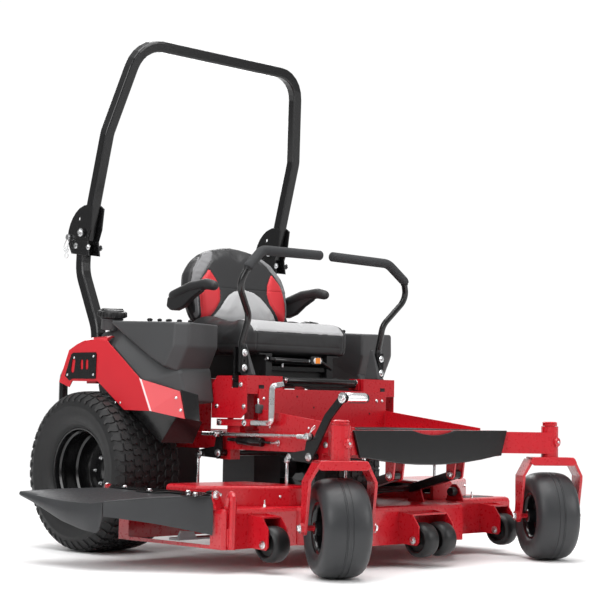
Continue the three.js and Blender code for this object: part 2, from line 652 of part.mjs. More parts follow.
const DECK_HALF = [[260, DECK.nose], [430, DECK.front], [DECK.half - 12, DECK.front],
  [DECK.half, DECK.front + 12], [DECK.half, DECK.rear], [250, DECK.rear], [160, -480]];
const DECK_OUTLINE = [...DECK_HALF, ...DECK_HALF.slice().reverse().map(([x, y]) => [-x, y])];

// Two bracket plates with the axle of an anti-scalp roller between them.
function rollerBracket(x, y, halfGap, back) {
  const outline = [[back + 3, 84], [y - 16, 80], [y - 26, 92], [y - 26, 148], [y + 4, 188], [back + 3, 196]];
  const plates = [-1, 1].map((t) => {
    const at = x + t * (halfGap + 3);
    return plate(outline, 'x', at - 2.5, at + 2.5);
  });
  const roof = block(x - halfGap - 4, x + halfGap + 4, y + 4, back + 3, 184, 189);
  const axle = rod([x - halfGap - 12, y, ROLLER.z], [x + halfGap + 12, y, ROLLER.z], ROLLER.bore - 1, 8);
  return join(...plates, roof, axle);
}

const SIDE_ROLLER = { x: 620, y: -1010 };
const CENTRE_ROLLER_Y = -1178;
const LINK_EAR_Y = [FRONT_CRANK.y + 99, REAR_CRANK.y + 99];

function deckShell() {
  const { low, top, wall } = DECK;
  const outside = cut(plate(DECK_OUTLINE, 'z', low - 40, top, 16), block(-900, 900, -1300, 0, 0, low));
  const inside = plate(inset(DECK_OUTLINE, wall), 'z', low - 60, top - wall);
  const mouth = block(-DECK.half - 10, -DECK.half + 40, -868, -430, low + 12, 196);
  const holes = Object.values(SPINDLES).map(([x, y]) => rod([x, y, 190], [x, y, 240], 26, 10));
  const housings = Object.values(SPINDLES).map(([x, y]) => rod([x, y, top - 2], [x, y, 236], 52, 20, 44));
  const tongue = block(-DECK.half - 9, -DECK.half + 2, -868, -430, 200, 206);
  const extras = [tongue];
  [-1, 1].forEach((s) => {
    extras.push(rollerBracket(s * SIDE_ROLLER.x, SIDE_ROLLER.y, 40, DECK.front));
    LINK_EAR_Y.forEach((y) => {
      extras.push(plate([[y - 26, top - 2], [y - 12, 262], [y + 12, 262], [y + 26, top - 2]], 'x',
        Math.min(s * 398, s * 404), Math.max(s * 398, s * 404)));
    });
    const earX = s * (PUSH_ARM.x + 20);
    extras.push(plate([[-985, top - 2], [-960, 286], [-930, 286], [-905, top - 2]], 'x', earX - 3, earX + 3));
  });
  extras.push(rollerBracket(0, CENTRE_ROLLER_Y, 90, DECK.nose));
  // lugs that carry the chute hinge
  [-898, -318].forEach((y) => extras.push(plate([[CHUTE_HINGE.x - 12, CHUTE_HINGE.z + 11],
    [CHUTE_HINGE.x + 12, CHUTE_HINGE.z + 11], [-740, top - 2], [-778, top - 2], [CHUTE_HINGE.x - 12, 248]],
  'y', y - 3.5, y + 3.5)));
  extras.push(block(-775, -735, -398, -315, top - 10, top));
  const guard = bent([[-735, -912, 222], [-735, -922, 268], [-748, -952, 262], [-752, -952, 82]],
    circleSection(13, 8), 22, 3, [1, 0, 0]);
  const stay = block(-760, -740, -950, -930, 90, 150);
  return cut(join(cut(outside, inside), ...extras, ...housings, guard, stay), mouth, ...holes);
}

function beltCover() {
  const outline = [[330, -905], [440, -905], [690, -770], [725, -735], [725, -575], [690, -545], [330, -560]];
  const shell = cut(plate(outline, 'z', 190, 284, 10), block(0, 900, -1200, 0, 150, DECK.top + GAP));
  const hollow = plate(inset(outline, 4), 'z', 180, 280);
  const beltGate = block(320, 345, -890, -570, 236, 272);
  return cut(shell, hollow, beltGate);
}

function deckBelt() {
  const loop = (r) => {
    const [[rx, ry], [, cy], [lx, ly]] = [SPINDLES.right, SPINDLES.centre, SPINDLES.left];
    const lean = THREE.MathUtils.radToDeg(Math.atan2(ry - cy, lx));
    return [...arc(rx, ry, r, 90, 270 - lean, 8), ...arc(0, cy, r, 270 - lean, 270 + lean, 3),
      ...arc(lx, ly, r, -90 + lean, 90, 8)];
  };
  const low = 247;
  const outside = plate(loop(PULLEY_R + GAP + 9), 'z', low, low + 13);
  return cut(outside, plate(loop(PULLEY_R + 1.2), 'z', low - 1, low + 14));
}

function spindle([x, y]) {
  const shaft = rod([x, y, 84], [x, y, 270], 14, 10);
  const pulley = rod([x, y, 243], [x, y, 264], PULLEY_R, 16);
  const hub = rod([x, y, 101], [x, y, 205], 24, 16, 22);
  const barOutline = [[x - BLADE_R, y - 30], [x + BLADE_R - 14, y - 30], [x + BLADE_R, y - 20],
    [x + BLADE_R, y + 30], [x - BLADE_R + 14, y + 30], [x - BLADE_R, y + 20]];
  const bar = plate(barOutline, 'z', 94, 101);
  const sails = [-1, 1].map((s) => hull([
    [x + s * 170, y + s * 14, 95], [x + s * 256, y + s * 14, 95], [x + s * 170, y + s * 30, 95],
    [x + s * 256, y + s * 28, 95], [x + s * 190, y + s * 33, 122], [x + s * 252, y + s * 33, 128],
    [x + s * 190, y + s * 29, 122], [x + s * 252, y + s * 29, 128]]));
  return join(shaft, pulley, hub, bar, ...sails);
}

function roller(x, y) {
  const { r, half, bore, z } = ROLLER;
  const side = [[bore, half], [r - 16, half], [r - 4, half - 14], [r, half - 26]];
  return turned([...side, ...side.slice().reverse().map(([q, a]) => [q, -a])], 16, [x, y, z]);
}

function centreRollers() {
  const y = CENTRE_ROLLER_Y;
  const sleeve = cut(rod([-30, y, ROLLER.z], [30, y, ROLLER.z], 22, 10),
    rod([-90, y, ROLLER.z], [90, y, ROLLER.z], ROLLER.bore, 16));
  return join(roller(-48, y), roller(48, y), sleeve);
}

// The chute is a moulded flap: a sloping top, a deep front skirt and a rounded outer skirt.
function dischargeChute() {
  const hinge = { front: [-782, -888, 252], rear: [-782, -336, 256] };
  const tip = [CHUTE_TIP.x, -172, 243];
  const knee = [-1052, -568, 229];
  const corner = [-1036, -618, 229];
  const drop = ([x, y, z], by) => [x, y, z - by];
  const top = hull([hinge.front, hinge.rear, tip, knee, corner, drop(hinge.front, 5), drop(hinge.rear, 5),
    drop(tip, 5), drop(knee, 5), drop(corner, 5)]);
  const skirt = (a, b, da, db, t) => hull([a, b, drop(a, da), drop(b, db)].flatMap(([x, y, z]) => [
    [x, y, z], [x + t[0], y + t[1], z]]));
  const front = skirt([-785, -886, 252], corner, 130, 47, [3, 5]);
  const turn = skirt(corner, knee, 47, 97, [4, 2]);
  const outer = skirt(knee, tip, 97, 14, [5, 0]);
  const barrel = rod([CHUTE_HINGE.x, -889, CHUTE_HINGE.z], [CHUTE_HINGE.x, -327, CHUTE_HINGE.z], 8, 8);
  return join(top, front, turn, outer, barrel);
}

// ---------------------------------------------------------------- deck lift and controls
function crankPlate(crank, x) {
  const { y, z } = crank;
  return plate([...arc(y, z, 22, 250, 300, 3), ...arc(y + 99, z - 2, 13, 280, 430, 5), [y + 20, z + 24],
    ...arc(y - 4, z + 71, 13, 0, 180, 5), [y - 22, z + 10]], 'x', x - 4, x + 4);
}

function liftPedal() {
  const { y, z } = FRONT_CRANK;
  const shaft = rod([-LIFT_X, y, z], [LIFT_X, y, z], 12, 10);
  const foot = { y: y - 162, z: z + 209, r: 15.5, inner: -272 };
  const arm = plate([[y - 18, z - 4], [y + 10, z + 16], [y - 76, z + 150], [y - 150, z + 220],
    [y - 175, z + 206], [y - 104, z + 134]], 'x', -LIFT_X - 4, -LIFT_X + 4);
  const pad = rod([-LIFT_X - 4, foot.y, foot.z], [foot.inner, foot.y, foot.z], foot.r, 12);
  const hub = rod([-LIFT_X - 6, foot.y, foot.z], [-LIFT_X + 8, foot.y, foot.z], foot.r + 2.5, 10);
  return join(shaft, crankPlate(FRONT_CRANK, -LIFT_X), crankPlate(FRONT_CRANK, LIFT_X), arm, pad, hub);
}

function rearLiftCrank() {
  const { y, z } = REAR_CRANK;
  const shaft = rod([-LIFT_X, y, z], [LIFT_X, y, z], 12, 10);
  return join(shaft, crankPlate(REAR_CRANK, -LIFT_X), crankPlate(REAR_CRANK, LIFT_X));
}

function liftRod() {
  const x = -LIFT_X - 13;
  const z = FRONT_CRANK.z + 71;
  const eyes = [FRONT_CRANK.y - 4, REAR_CRANK.y - 4].map((y) => rod([x - 8, y, z], [x + 8, y, z], 13, 8));
  return join(rod([x, FRONT_CRANK.y - 4, z], [x, -392, z], 7, 8), ...eyes);
}

function frontPushArms() {
  const { x, y, z, rearY, rearZ } = PUSH_ARM;
  const arms = [-1, 1].map((s) => cut(
    plate([...arc(y, z, 17, 40, 250, 6), ...arc(rearY, rearZ, 15, 250, 430, 6)], 'x', s * x - 14, s * x + 14),
    rod([s * x - 30, y, z], [s * x + 30, y, z], 9, 8),
  ));
  return join(...arms, rod([-x, rearY, rearZ], [x, rearY, rearZ], 9, 8));
}

function brakeLever() {
  return bent([[-379, -640.6, 500], [-379, -742, 500], [-379, -742, 634], [-322, -735, 642]],
    squareSection(20, 3), 18, 4, [0.6, 0.8, 0]);
}

// ---------------------------------------------------------------- the machine
add('main_frame', 'red', mainFrame());
add('front_beam', 'red', frontBeam());
add('front_cover', 'black', frontCover());
add('foot_platform', 'red', footPlatform());
addPair('console', 'red', controlConsole());
addPair('fuel_tank', 'plastic', fuelTank());
addPair('fuel_cap', 'black', fuelCap());
addPair('fender', 'red', fender());
add('rear_guard', 'black', rearGuard());
addPair('rops_leg', 'black', ropsLeg());
add('rops_hoop', 'black', ropsHoop());
addPair('rops_pin', 'zinc', ropsPin());
add('engine_block', 'cast', engineBlock());
add('engine_shroud', 'black', engineShroud());
add('muffler', 'black', muffler());
addPair('hydro_drive', 'cast', hydroDrive());
addPair('rear_tyre', 'rubber', rearTyre());
addPair('rear_rim', 'black', rearRim());
addCasters('caster_fork', 'red', casterFork());
addCasters('caster_tyre', 'rubber', casterTyre());
addCasters('caster_rim', 'black', casterRim());
add('seat_platform', 'black', seatPlatform());
add('seat_cushion', 'vinyl', seatCushion());
add('seat_back', 'vinyl', seatBack());
addPair('armrest', 'vinyl', armrest());
addPair('lever_base', 'black', leverBase());
addPair('lap_bar', 'black', lapBar());
addPair('lap_grip', 'foam', lapGrip());
add('deck_shell', 'red', deckShell());
addPair('belt_cover', 'red', beltCover());
add('deck_belt', 'rubber', deckBelt());
add('discharge_chute', 'plastic', dischargeChute());
Object.entries(SPINDLES).forEach(([side, at]) => add(`blade_${side}`, 'zinc', spindle(at)));
addPair('roller', 'plastic', roller(SIDE_ROLLER.x, SIDE_ROLLER.y));
add('roller_centre', 'plastic', centreRollers());
add('front_push_arms', 'black', frontPushArms());
add('lift_pedal', 'black', liftPedal());
add('rear_lift_crank', 'black', rearLiftCrank());
add('lift_rod', 'zinc', liftRod());
add('brake_lever', 'zinc', brakeLever());

export default group;
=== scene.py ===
from math import atan2, copysign, cos, degrees, hypot, pi, radians, sin, sqrt, tan

import bmesh
import bpy
import numpy as np
from mathutils import Matrix, Vector
from mathutils.geometry import tessellate_polygon


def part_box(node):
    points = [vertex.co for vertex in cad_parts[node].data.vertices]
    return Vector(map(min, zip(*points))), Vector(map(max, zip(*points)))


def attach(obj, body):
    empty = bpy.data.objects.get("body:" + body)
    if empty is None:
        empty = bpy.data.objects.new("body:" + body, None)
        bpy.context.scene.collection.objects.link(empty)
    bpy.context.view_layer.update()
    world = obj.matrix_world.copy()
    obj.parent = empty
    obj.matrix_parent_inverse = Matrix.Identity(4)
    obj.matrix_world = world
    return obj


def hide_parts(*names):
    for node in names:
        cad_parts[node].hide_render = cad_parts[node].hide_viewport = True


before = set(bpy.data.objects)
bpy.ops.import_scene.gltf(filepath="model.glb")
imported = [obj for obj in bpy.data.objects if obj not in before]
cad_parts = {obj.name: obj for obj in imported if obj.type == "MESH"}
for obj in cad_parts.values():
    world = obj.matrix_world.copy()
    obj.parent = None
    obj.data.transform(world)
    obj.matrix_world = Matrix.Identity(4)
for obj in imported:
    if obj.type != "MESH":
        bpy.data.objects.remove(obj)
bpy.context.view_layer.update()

# ---------- places
# Everything below is drawn in millimetres from the middle of the rear axle, +X to the operator's left.
_left, _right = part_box("rear_tyre_left"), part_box("rear_tyre_right")
ORIGIN = Vector(((_left[0].x + _right[1].x) / 2, (_left[0].y + _left[1].y) / 2, 0))


def P(x, y, z):
    return Vector((x / 1000, y / 1000, z / 1000)) + ORIGIN


# ---------- materials
def node(tree, kind, *places, **values):
    """A new shader node. A socket among the values is linked; `places` are (input number, value) pairs."""
    n = tree.nodes.new("ShaderNode" + kind)
    for key, value in values.items():
        if hasattr(n, key):
            setattr(n, key, value)
        else:
            places += ((key.replace("_", " "), value),)
    for place, value in places:
        if isinstance(value, bpy.types.NodeSocket):
            tree.links.new(value, n.inputs[place])
        else:
            n.inputs[place].default_value = value
    return n


def surface(name, colour, rough, metal=0.0, coat=0.0, grain=300.0, bump=0.1, depth=0.0004, mottle=0.12,
            rough_span=0.12, dust=0.0, fine=None, gloss=0.35):
    """A finish with uneven colour and gloss and a fine surface grain; dust settles on what faces up."""
    m = bpy.data.materials.new(name)
    m.use_nodes = True
    t = m.node_tree
    shader = t.nodes["Principled BSDF"]
    shader.inputs["Metallic"].default_value = metal
    shader.inputs["Coat Weight"].default_value = coat
    shader.inputs["Coat Roughness"].default_value = 0.1
    shader.inputs["Specular IOR Level"].default_value = gloss
    place = node(t, "TexCoord").outputs["Object"]
    broad = node(t, "TexNoise", Vector=place, Scale=9.0, Detail=5.0, Roughness=0.6)
    dark = [c * (1 - mottle) for c in colour]
    light = [min(1, c * (1 + mottle)) for c in colour]
    mix = node(t, "Mix", (0, broad.outputs["Fac"]), (6, (*dark, 1)), (7, (*light, 1)), data_type="RGBA")
    paint = mix.outputs[2]
    spots = node(t, "TexNoise", Vector=place, Scale=grain * 0.2, Detail=3.0)
    span = node(t, "MapRange", Value=spots.outputs["Fac"], To_Min=max(0.02, rough - rough_span / 2),
                To_Max=min(1, rough + rough_span / 2))
    t.links.new(span.outputs[0], shader.inputs["Roughness"])
    if dust:
        facing = node(t, "SeparateXYZ", (0, node(t, "NewGeometry").outputs["Normal"]))
        gate = node(t, "MapRange", Value=facing.outputs["Z"], From_Min=0.2, To_Max=dust)
        veil = node(t, "Mix", (0, gate.outputs[0]), (6, paint), (7, (0.32, 0.31, 0.3, 1)), data_type="RGBA")
        paint = veil.outputs[2]
    t.links.new(paint, shader.inputs["Base Color"])
    if fine == "cells":
        tiny = node(t, "TexVoronoi", Vector=place, Scale=grain).outputs["Distance"]
    else:
        tiny = node(t, "TexNoise", Vector=place, Scale=grain).outputs["Fac"]
    relief = node(t, "Bump", Height=tiny, Strength=bump, Distance=depth)
    t.links.new(relief.outputs[0], shader.inputs["Normal"])
    return m


RED = surface("red_powder_coat", (0.47, 0.006, 0.014), 0.28, coat=0.3, grain=420, bump=0.02, mottle=0.06,
              gloss=0.5, rough_span=0.06)
FENDER_RED = surface("red_fender_coat", (0.56, 0.014, 0.024), 0.34, coat=0.25, grain=420, bump=0.02,
                     mottle=0.05, rough_span=0.06)
BLACK = surface("black_powder_coat", (0.007, 0.007, 0.0075), 0.24, coat=0.2, grain=500, bump=0.06)
SATIN = surface("black_satin_paint", (0.009, 0.009, 0.0095), 0.42, grain=600, bump=0.15, rough_span=0.2)
RIM = surface("black_wheel_paint", (0.006, 0.006, 0.0065), 0.22, coat=0.3, grain=300, bump=0.06)
TANK = surface("grey_tank_plastic", (0.050, 0.051, 0.053), 0.5, grain=900, bump=0.3, mottle=0.08, fine="cells")
CHUTE = surface("grey_chute_plastic", (0.032, 0.033, 0.035), 0.42, grain=520, bump=0.3, mottle=0.2,
                rough_span=0.25)
DARK_PLASTIC = surface("black_plastic", (0.010, 0.010, 0.0105), 0.4, grain=800, bump=0.2, fine="cells")
TREAD = surface("tread_rubber", (0.012, 0.012, 0.0125), 0.55, grain=260, bump=0.25, mottle=0.3, dust=0.02)
SMOOTH_RUBBER = surface("caster_rubber", (0.030, 0.031, 0.033), 0.42, grain=240, bump=0.15, mottle=0.22,
                        rough_span=0.25)
BELT = surface("belt_rubber", (0.02, 0.02, 0.02), 0.8, grain=500, bump=0.3)
VINYL = surface("charcoal_vinyl", (0.019, 0.019, 0.020), 0.48, grain=700, bump=0.35, fine="cells")
PALE_VINYL = surface("light_grey_vinyl", (0.40, 0.40, 0.405), 0.55, grain=700, bump=0.3, mottle=0.04,
                     fine="cells")
GREY_VINYL = surface("mid_grey_vinyl", (0.17, 0.17, 0.175), 0.55, grain=700, bump=0.3, mottle=0.05,
                    fine="cells")
RED_VINYL = surface("red_vinyl", (0.50, 0.022, 0.03), 0.5, grain=700, bump=0.3, mottle=0.06, fine="cells")
FOAM = surface("grip_foam", (0.028, 0.029, 0.031), 0.8, grain=1100, bump=0.5, mottle=0.1)
ZINC = surface("bright_zinc", (0.72, 0.73, 0.74), 0.28, metal=1.0, grain=160, bump=0.06, rough_span=0.2)
ROLLED = surface("chromed_pad", (0.85, 0.85, 0.86), 0.16, metal=1.0, grain=120, bump=0.03, rough_span=0.08)
STEEL = surface("blade_steel", (0.3, 0.3, 0.31), 0.42, metal=1.0, grain=200, bump=0.2, rough_span=0.3)
CAST = surface("cast_alloy", (0.34, 0.34, 0.35), 0.5, metal=0.85, grain=420, bump=0.5, rough_span=0.2)
DRIVE = surface("dark_cast_alloy", (0.03, 0.03, 0.032), 0.5, metal=0.3, grain=380, bump=0.5, rough_span=0.2)
ORANGE = surface("orange_plastic", (0.85, 0.25, 0.02), 0.4, grain=500, bump=0.1)
WHITE = surface("white_plastic", (0.8, 0.8, 0.8), 0.4, grain=500, bump=0.1, mottle=0.03)
# Painted shade: a near-black finish put where holes and openings show only their dark inside.
VOID = surface("painted_hole_shade", (0.006, 0.006, 0.006), 0.8, grain=300, bump=0.1)


def painted_fold_highlight(material, point, direction, half_width, colour):
    """A painted highlight: a pale line where the sheet is folded, in place of the light the bend catches; the
    plane through the fold, square to `direction`.
    """
    t = material.node_tree
    place = node(t, "TexCoord").outputs["Object"]
    move = node(t, "VectorMath", (0, place), (1, P(*point)), operation="SUBTRACT")
    square = Vector(direction).normalized()
    off = node(t, "VectorMath", (0, move.outputs[0]), (1, square), operation="DOT_PRODUCT")
    size = node(t, "Math", (0, off.outputs["Value"]), operation="ABSOLUTE")
    band = node(t, "MapRange", Value=size.outputs[0], From_Min=half_width, From_Max=half_width * 0.6)
    base = t.nodes["Principled BSDF"].inputs["Base Color"]
    paint = base.links[0].from_socket
    mix = node(t, "Mix", (0, band.outputs[0]), (6, paint), (7, (*colour, 1)), data_type="RGBA")
    t.links.new(mix.outputs[2], base)


# Painted highlight: a pale band along the fold of both fenders.
painted_fold_highlight(FENDER_RED, (640, -310, 655), (0, -117, 62), 0.0042, (0.85, 0.6, 0.6))

NODE_LOOKS = {
    RED: "main_frame front_beam foot_platform console_left console_right caster_fork_left caster_fork_right "
         "deck_shell belt_cover_left belt_cover_right",
    FENDER_RED: "fender_left fender_right",
    BLACK: "front_cover rear_guard rops_leg_left rops_leg_right rops_hoop lever_base_left lever_base_right "
           "front_push_arms lift_pedal rear_lift_crank",
    SATIN: "muffler seat_platform",
    CAST: "engine_block",
    DRIVE: "hydro_drive_left hydro_drive_right",
    DARK_PLASTIC: "engine_shroud",
    STEEL: "blade_left blade_centre blade_right",
    BELT: "deck_belt",
    ZINC: "rops_pin_left rops_pin_right lift_rod brake_lever",
}
EDGE = {"deck_shell": 0.0022, "rops_hoop": 0.004, "engine_shroud": 0.004, "hydro_drive_left": 0.005,
        "hydro_drive_right": 0.005, "engine_block": 0.003, "front_beam": 0.0025, "main_frame": 0.0025}
for material, names in NODE_LOOKS.items():
    for name in names.split():
        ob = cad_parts[name]
        ob.data.materials.clear()
        ob.data.materials.append(material)
        weld = ob.modifiers.new("weld", "WELD")
        weld.merge_threshold = 0.00005
        flat = ob.modifiers.new("flat", "DECIMATE")
        flat.decimate_type = "DISSOLVE"
        flat.angle_limit = radians(1.5)
        edge = ob.modifiers.new("edge", "BEVEL")
        edge.width = EDGE.get(name, 0.0012)
        edge.segments = 2
        edge.limit_method = "ANGLE"
        edge.angle_limit = radians(32)
        edge.harden_normals = True
        weight = ob.modifiers.new("weight", "WEIGHTED_NORMAL")
        weight.keep_sharp = True


# ---------- shapes, as lists of points and faces
def g_join(*shapes):
    verts, faces = [], []
    for v, f in shapes:
        start = len(verts)
        verts += list(v)
        faces += [[i + start for i in face] for face in f]
    return verts, faces


def g_grid(rows, close_u=False, close_v=False):
    """Faces over rows of points; close_u joins each row's ends, close_v joins the last row to the first."""
    n, m = len(rows), len(rows[0])
    verts = [Vector(p) for row in rows for p in row]
    faces = []
    for i in range(n if close_v else n - 1):
        for j in range(m if close_u else m - 1):
            k, l = (i + 1) % n, (j + 1) % m
            faces.append([i * m + j, i * m + l, k * m + l, k * m + j])
    return verts, faces


def g_lathe(profile, at, axis="x", sides=64, closed=False):
    """Profile points (radius, distance along the axis) turned round the axis through `at`."""
    turn = {"x": lambda r, a, c, s: (a, r * c, r * s), "y": lambda r, a, c, s: (r * c, a, r * s),
            "z": lambda r, a, c, s: (r * c, r * s, a)}[axis]
    base = Vector(at)
    rows = []
    for r, a in profile:
        rows.append([base + Vector(turn(r, a, c, s)) for c, s in circle(0, 0, 1, sides)])
    verts, faces = g_grid(rows, close_u=True, close_v=closed)
    if not closed:
        for row, r in ((0, profile[0][0]), (len(profile) - 1, profile[-1][0])):
            if r > 0:
                faces.append([row * sides + k for k in range(sides)])
    return verts, faces


def aligned(shape, at, direction):
    """A shape drawn along +Z at the origin, moved to `at` and turned along `direction`."""
    turn = Vector(direction).normalized().to_track_quat("Z", "Y").to_matrix()
    base = Vector(at)
    return [base + turn @ v for v in shape[0]], shape[1]


def g_turned(profile, at, direction, sides):
    """A lathed shape that starts at `at` and runs along `direction`."""
    return aligned(g_lathe(profile, (0, 0, 0), "z", sides), at, direction)


def g_rod(a, b, r, r1=None, sides=24, chamfer=1.0):
    r1 = r if r1 is None else r1
    run = Vector(b) - Vector(a)
    h = run.length
    c = min(chamfer, r * 0.6, r1 * 0.6, h * 0.3)
    profile = [(0, 0), (r - c, 0), (r - c * 0.3, c * 0.3), (r, c), (r1, h - c), (r1 - c * 0.3, h - c * 0.3),
               (r1 - c, h), (0, h)]
    return g_turned(profile, a, run, sides)


def g_bolt(at, direction, r=8.0, washer=True, stud=0.0):
    """A hex head with a domed top over a washer, or a nut with a stud when `stud` is given."""
    parts = []
    low = 0.0
    if washer:
        parts.append(g_lathe([(0, 0), (r * 1.45, 0), (r * 1.55, 0.5), (r * 1.55, 1.6), (r * 1.45, 2), (0, 2)],
                             (0, 0, 0), "z", 28))
        low = 2.0
    rows = []
    for grow, z in ((1.0, low), (1.0, low + r * 0.55), (0.9, low + r * 0.72), (0.5, low + r * 0.76)):
        rows.append([Vector((u, v, z)) for u, v in circle(0, 0, grow * r, 6)])
    verts, faces = g_grid(rows, close_u=True)
    faces.append([18 + k for k in range(6)])
    faces.append([5 - k for k in range(6)])
    parts.append((verts, faces))
    if stud:
        parts.append(g_lathe([(0, low), (r * 0.5, low), (r * 0.5, low + stud - 1), (r * 0.38, low + stud),
                              (0, low + stud)], (0, 0, 0), "z", 16))
    return aligned(g_join(*parts), at, direction)


def g_dome(at, direction, r=7.0):
    """A round carriage bolt head."""
    profile = [(0, 0), (r, 0), (r, 0.8)] + [(r * cos(a), 0.8 + r * 0.5 * sin(a))
                                            for a in (0.3, 0.6, 0.9, 1.2, 1.4)] + [(0, 0.8 + r * 0.5)]
    return g_turned(profile, at, direction, 24)


def rounded(points, bend, steps=6):
    """The path of straight runs through `points`, joined by round bends."""
    points = [Vector(p) for p in points]
    path = [points[0]]
    for before, corner, after in zip(points, points[1:], points[2:]):
        a, b = (before - corner).normalized(), (after - corner).normalized()
        half = a.angle(b) / 2
        if half > 1.55:
            path.append(corner)
            continue
        reach = min(bend / tan(half), (before - corner).length * 0.49, (after - corner).length * 0.49)
        radius = reach * tan(half)
        centre = corner + (a + b).normalized() * (radius / sin(half))
        spoke, end = corner + a * reach - centre, corner + b * reach - centre
        turn = spoke.cross(end).normalized()
        sweep = spoke.angle(end)
        for k in range(steps + 1):
            path.append(centre + Matrix.Rotation(sweep * k / steps, 3, turn) @ spoke)
    return path + [points[-1]]


def g_tube(points, r, bend=30, steps=6, sides=20, side=(0, 1, 0), square=0.0, cap=0.0, radii=None):
    """A round or square bar along the path; cap rounds its ends over that length."""
    path = rounded(points, bend, steps) if bend else [Vector(p) for p in points]
    if cap:
        for end in (0, -1):
            tip, inner = path[end], path[1 if end == 0 else -2]
            along = (inner - tip).normalized()
            extra = [tip + along * cap * k for k in (0.08, 0.3, 0.6, 1.0)]
            path = [path[0]] + extra + path[1:] if end == 0 else path[:-1] + extra[::-1] + [path[-1]]
    if square:
        a, b = square / 2, square / 2 - r
        ring = []
        for cx, cy, start in ((b, b, 0), (-b, b, 90), (-b, -b, 180), (b, -b, 270)):
            ring += circle(cx, cy, r, 3, start, 90)
    else:
        ring = circle(0, 0, r, sides)
    rows = []
    keep = Vector(side)
    lengths = [0.0]
    for p, q in zip(path, path[1:]):
        lengths.append(lengths[-1] + (q - p).length)
    for i, p in enumerate(path):
        ahead = (path[min(i + 1, len(path) - 1)] - path[max(i - 1, 0)]).normalized()
        u = (keep - ahead * keep.dot(ahead)).normalized()
        v = ahead.cross(u)
        grow = 1.0
        if cap:
            d = min(lengths[i], lengths[-1] - lengths[i]) / cap
            grow = sqrt(max(0.02, 1 - (1 - min(1, d)) ** 2))
        if radii:
            grow *= np.interp(lengths[i] / lengths[-1], *radii)
        rows.append([p + u * x * grow + v * y * grow for x, y in ring])
    verts, faces = g_grid(rows, close_u=True)
    n = len(ring)
    faces += [list(range(n))[::-1], [(len(rows) - 1) * n + k for k in range(n)]]
    return verts, faces


def circle(u, v, r, n=24, start=0.0, sweep=360.0):
    ends = n if sweep >= 360 else n + 1
    return [(u + r * cos(radians(start + sweep * k / n)), v + r * sin(radians(start + sweep * k / n)))
            for k in range(ends)]


def slot_hole(u, v, du, dv, r, n=8):
    """A slot's outline between (u, v) and (u + du, v + dv)."""
    tilt = degrees(atan2(dv, du))
    return circle(u + du, v + dv, r, n, tilt - 90, 180) + circle(u, v, r, n, tilt + 90, 180)


def g_plate(outline, across, low, high, holes=()):
    """A plate of that outline with holes through it. Across x the outline is (y, z), y (x, z), z (x, y)."""
    loops = [list(outline)] + [list(h) for h in holes]
    flat = tessellate_polygon([[Vector((u, v, 0)) for u, v in loop] for loop in loops])
    points = [p for loop in loops for p in loop]
    place = {"x": lambda u, v, w: Vector((w, u, v)), "y": lambda u, v, w: Vector((u, w, v)),
             "z": lambda u, v, w: Vector((u, v, w))}[across]
    n = len(points)
    verts = [place(u, v, low) for u, v in points] + [place(u, v, high) for u, v in points]
    faces = [list(tri) for tri in flat] + [[i + n for i in tri][::-1] for tri in flat]
    start = 0
    for loop in loops:
        m = len(loop)
        for k in range(m):
            a, b = start + k, start + (k + 1) % m
            faces.append([a, b, b + n, a + n])
        start += m
    return verts, faces


def g_hull(points):
    bm = bmesh.new()
    for p in points:
        bm.verts.new(p)
    bmesh.ops.convex_hull(bm, input=bm.verts)
    loose = [v for v in bm.verts if not v.link_faces]
    bmesh.ops.delete(bm, geom=loose, context="VERTS")
    bm.verts.index_update()
    out = [v.co.copy() for v in bm.verts], [[v.index for v in f.verts] for f in bm.faces]
    bm.free()
    return out


def g_box(x0, x1, y0, y1, z0, z1):
    return g_hull([(x, y, z) for x in (x0, x1) for y in (y0, y1) for z in (z0, z1)])


def g_sheet(outline, shift):
    """A thin sheet: the hull of an outline and of its copy moved by `shift`."""
    return g_hull([Vector(p) for p in outline] + [Vector(p) + Vector(shift) for p in outline])


def both_ways(half):
    """A lathe profile drawn on one side of the middle and repeated on the other."""
    return half + [(r, -a) for r, a in reversed(half)]


def mirror(shape):
    return [Vector((-v[0], v[1], v[2])) for v in shape[0]], [f[::-1] for f in shape[1]]


def piece(name, shape, material, body="chassis", edge=0.0, angle=35, replaces=(), slot=None, planar=True,
          segments=2):
    """A shown piece in the row frame, riding on a body; edge rounds its corners, in millimetres."""
    bm = bmesh.new()
    verts = [bm.verts.new(P(*v)) for v in shape[0]]
    for f in shape[1]:
        try:
            bm.faces.new([verts[i] for i in f])
        except ValueError:
            pass
    bmesh.ops.remove_doubles(bm, verts=bm.verts, dist=2e-6)
    bmesh.ops.dissolve_degenerate(bm, edges=bm.edges, dist=1e-6)
    if edge and planar:
        bmesh.ops.dissolve_limit(bm, angle_limit=radians(1), verts=bm.verts, edges=bm.edges)
    bmesh.ops.recalc_face_normals(bm, faces=bm.faces)
    mesh = bpy.data.meshes.new(name)
    bm.to_mesh(mesh)
    bm.free()
    for f in mesh.polygons:
        f.use_smooth = True
    mesh.set_sharp_from_angle(angle=radians(angle))
    ob = bpy.data.objects.new(name, mesh)
    bpy.context.scene.collection.objects.link(ob)
    for m in material if isinstance(material, list) else [material]:
        mesh.materials.append(m)
    if edge:
        mod = ob.modifiers.new("edge", "BEVEL")
        mod.width = edge / 1000
        mod.segments = segments
        mod.limit_method = "ANGLE"
        mod.angle_limit = radians(angle - 5)
        mod.harden_normals = True
    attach(ob, body)
    if replaces:
        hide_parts(*replaces)
    return ob


SIDE = {1: "left", -1: "right"}


def pair(name, shape, material, body="chassis", replaces=(), place=None, **options):
    """The same piece on the left and mirrored on the right; {} in body or replaces is the side's name."""
    for side in ("left", "right"):
        form = place(shape, side) if place else shape if side == "left" else mirror(shape)
        piece(f"{name}_{side}", form, material, body.format(side), replaces=[r.format(side) for r in replaces],
              **options)


BOLTS = {}


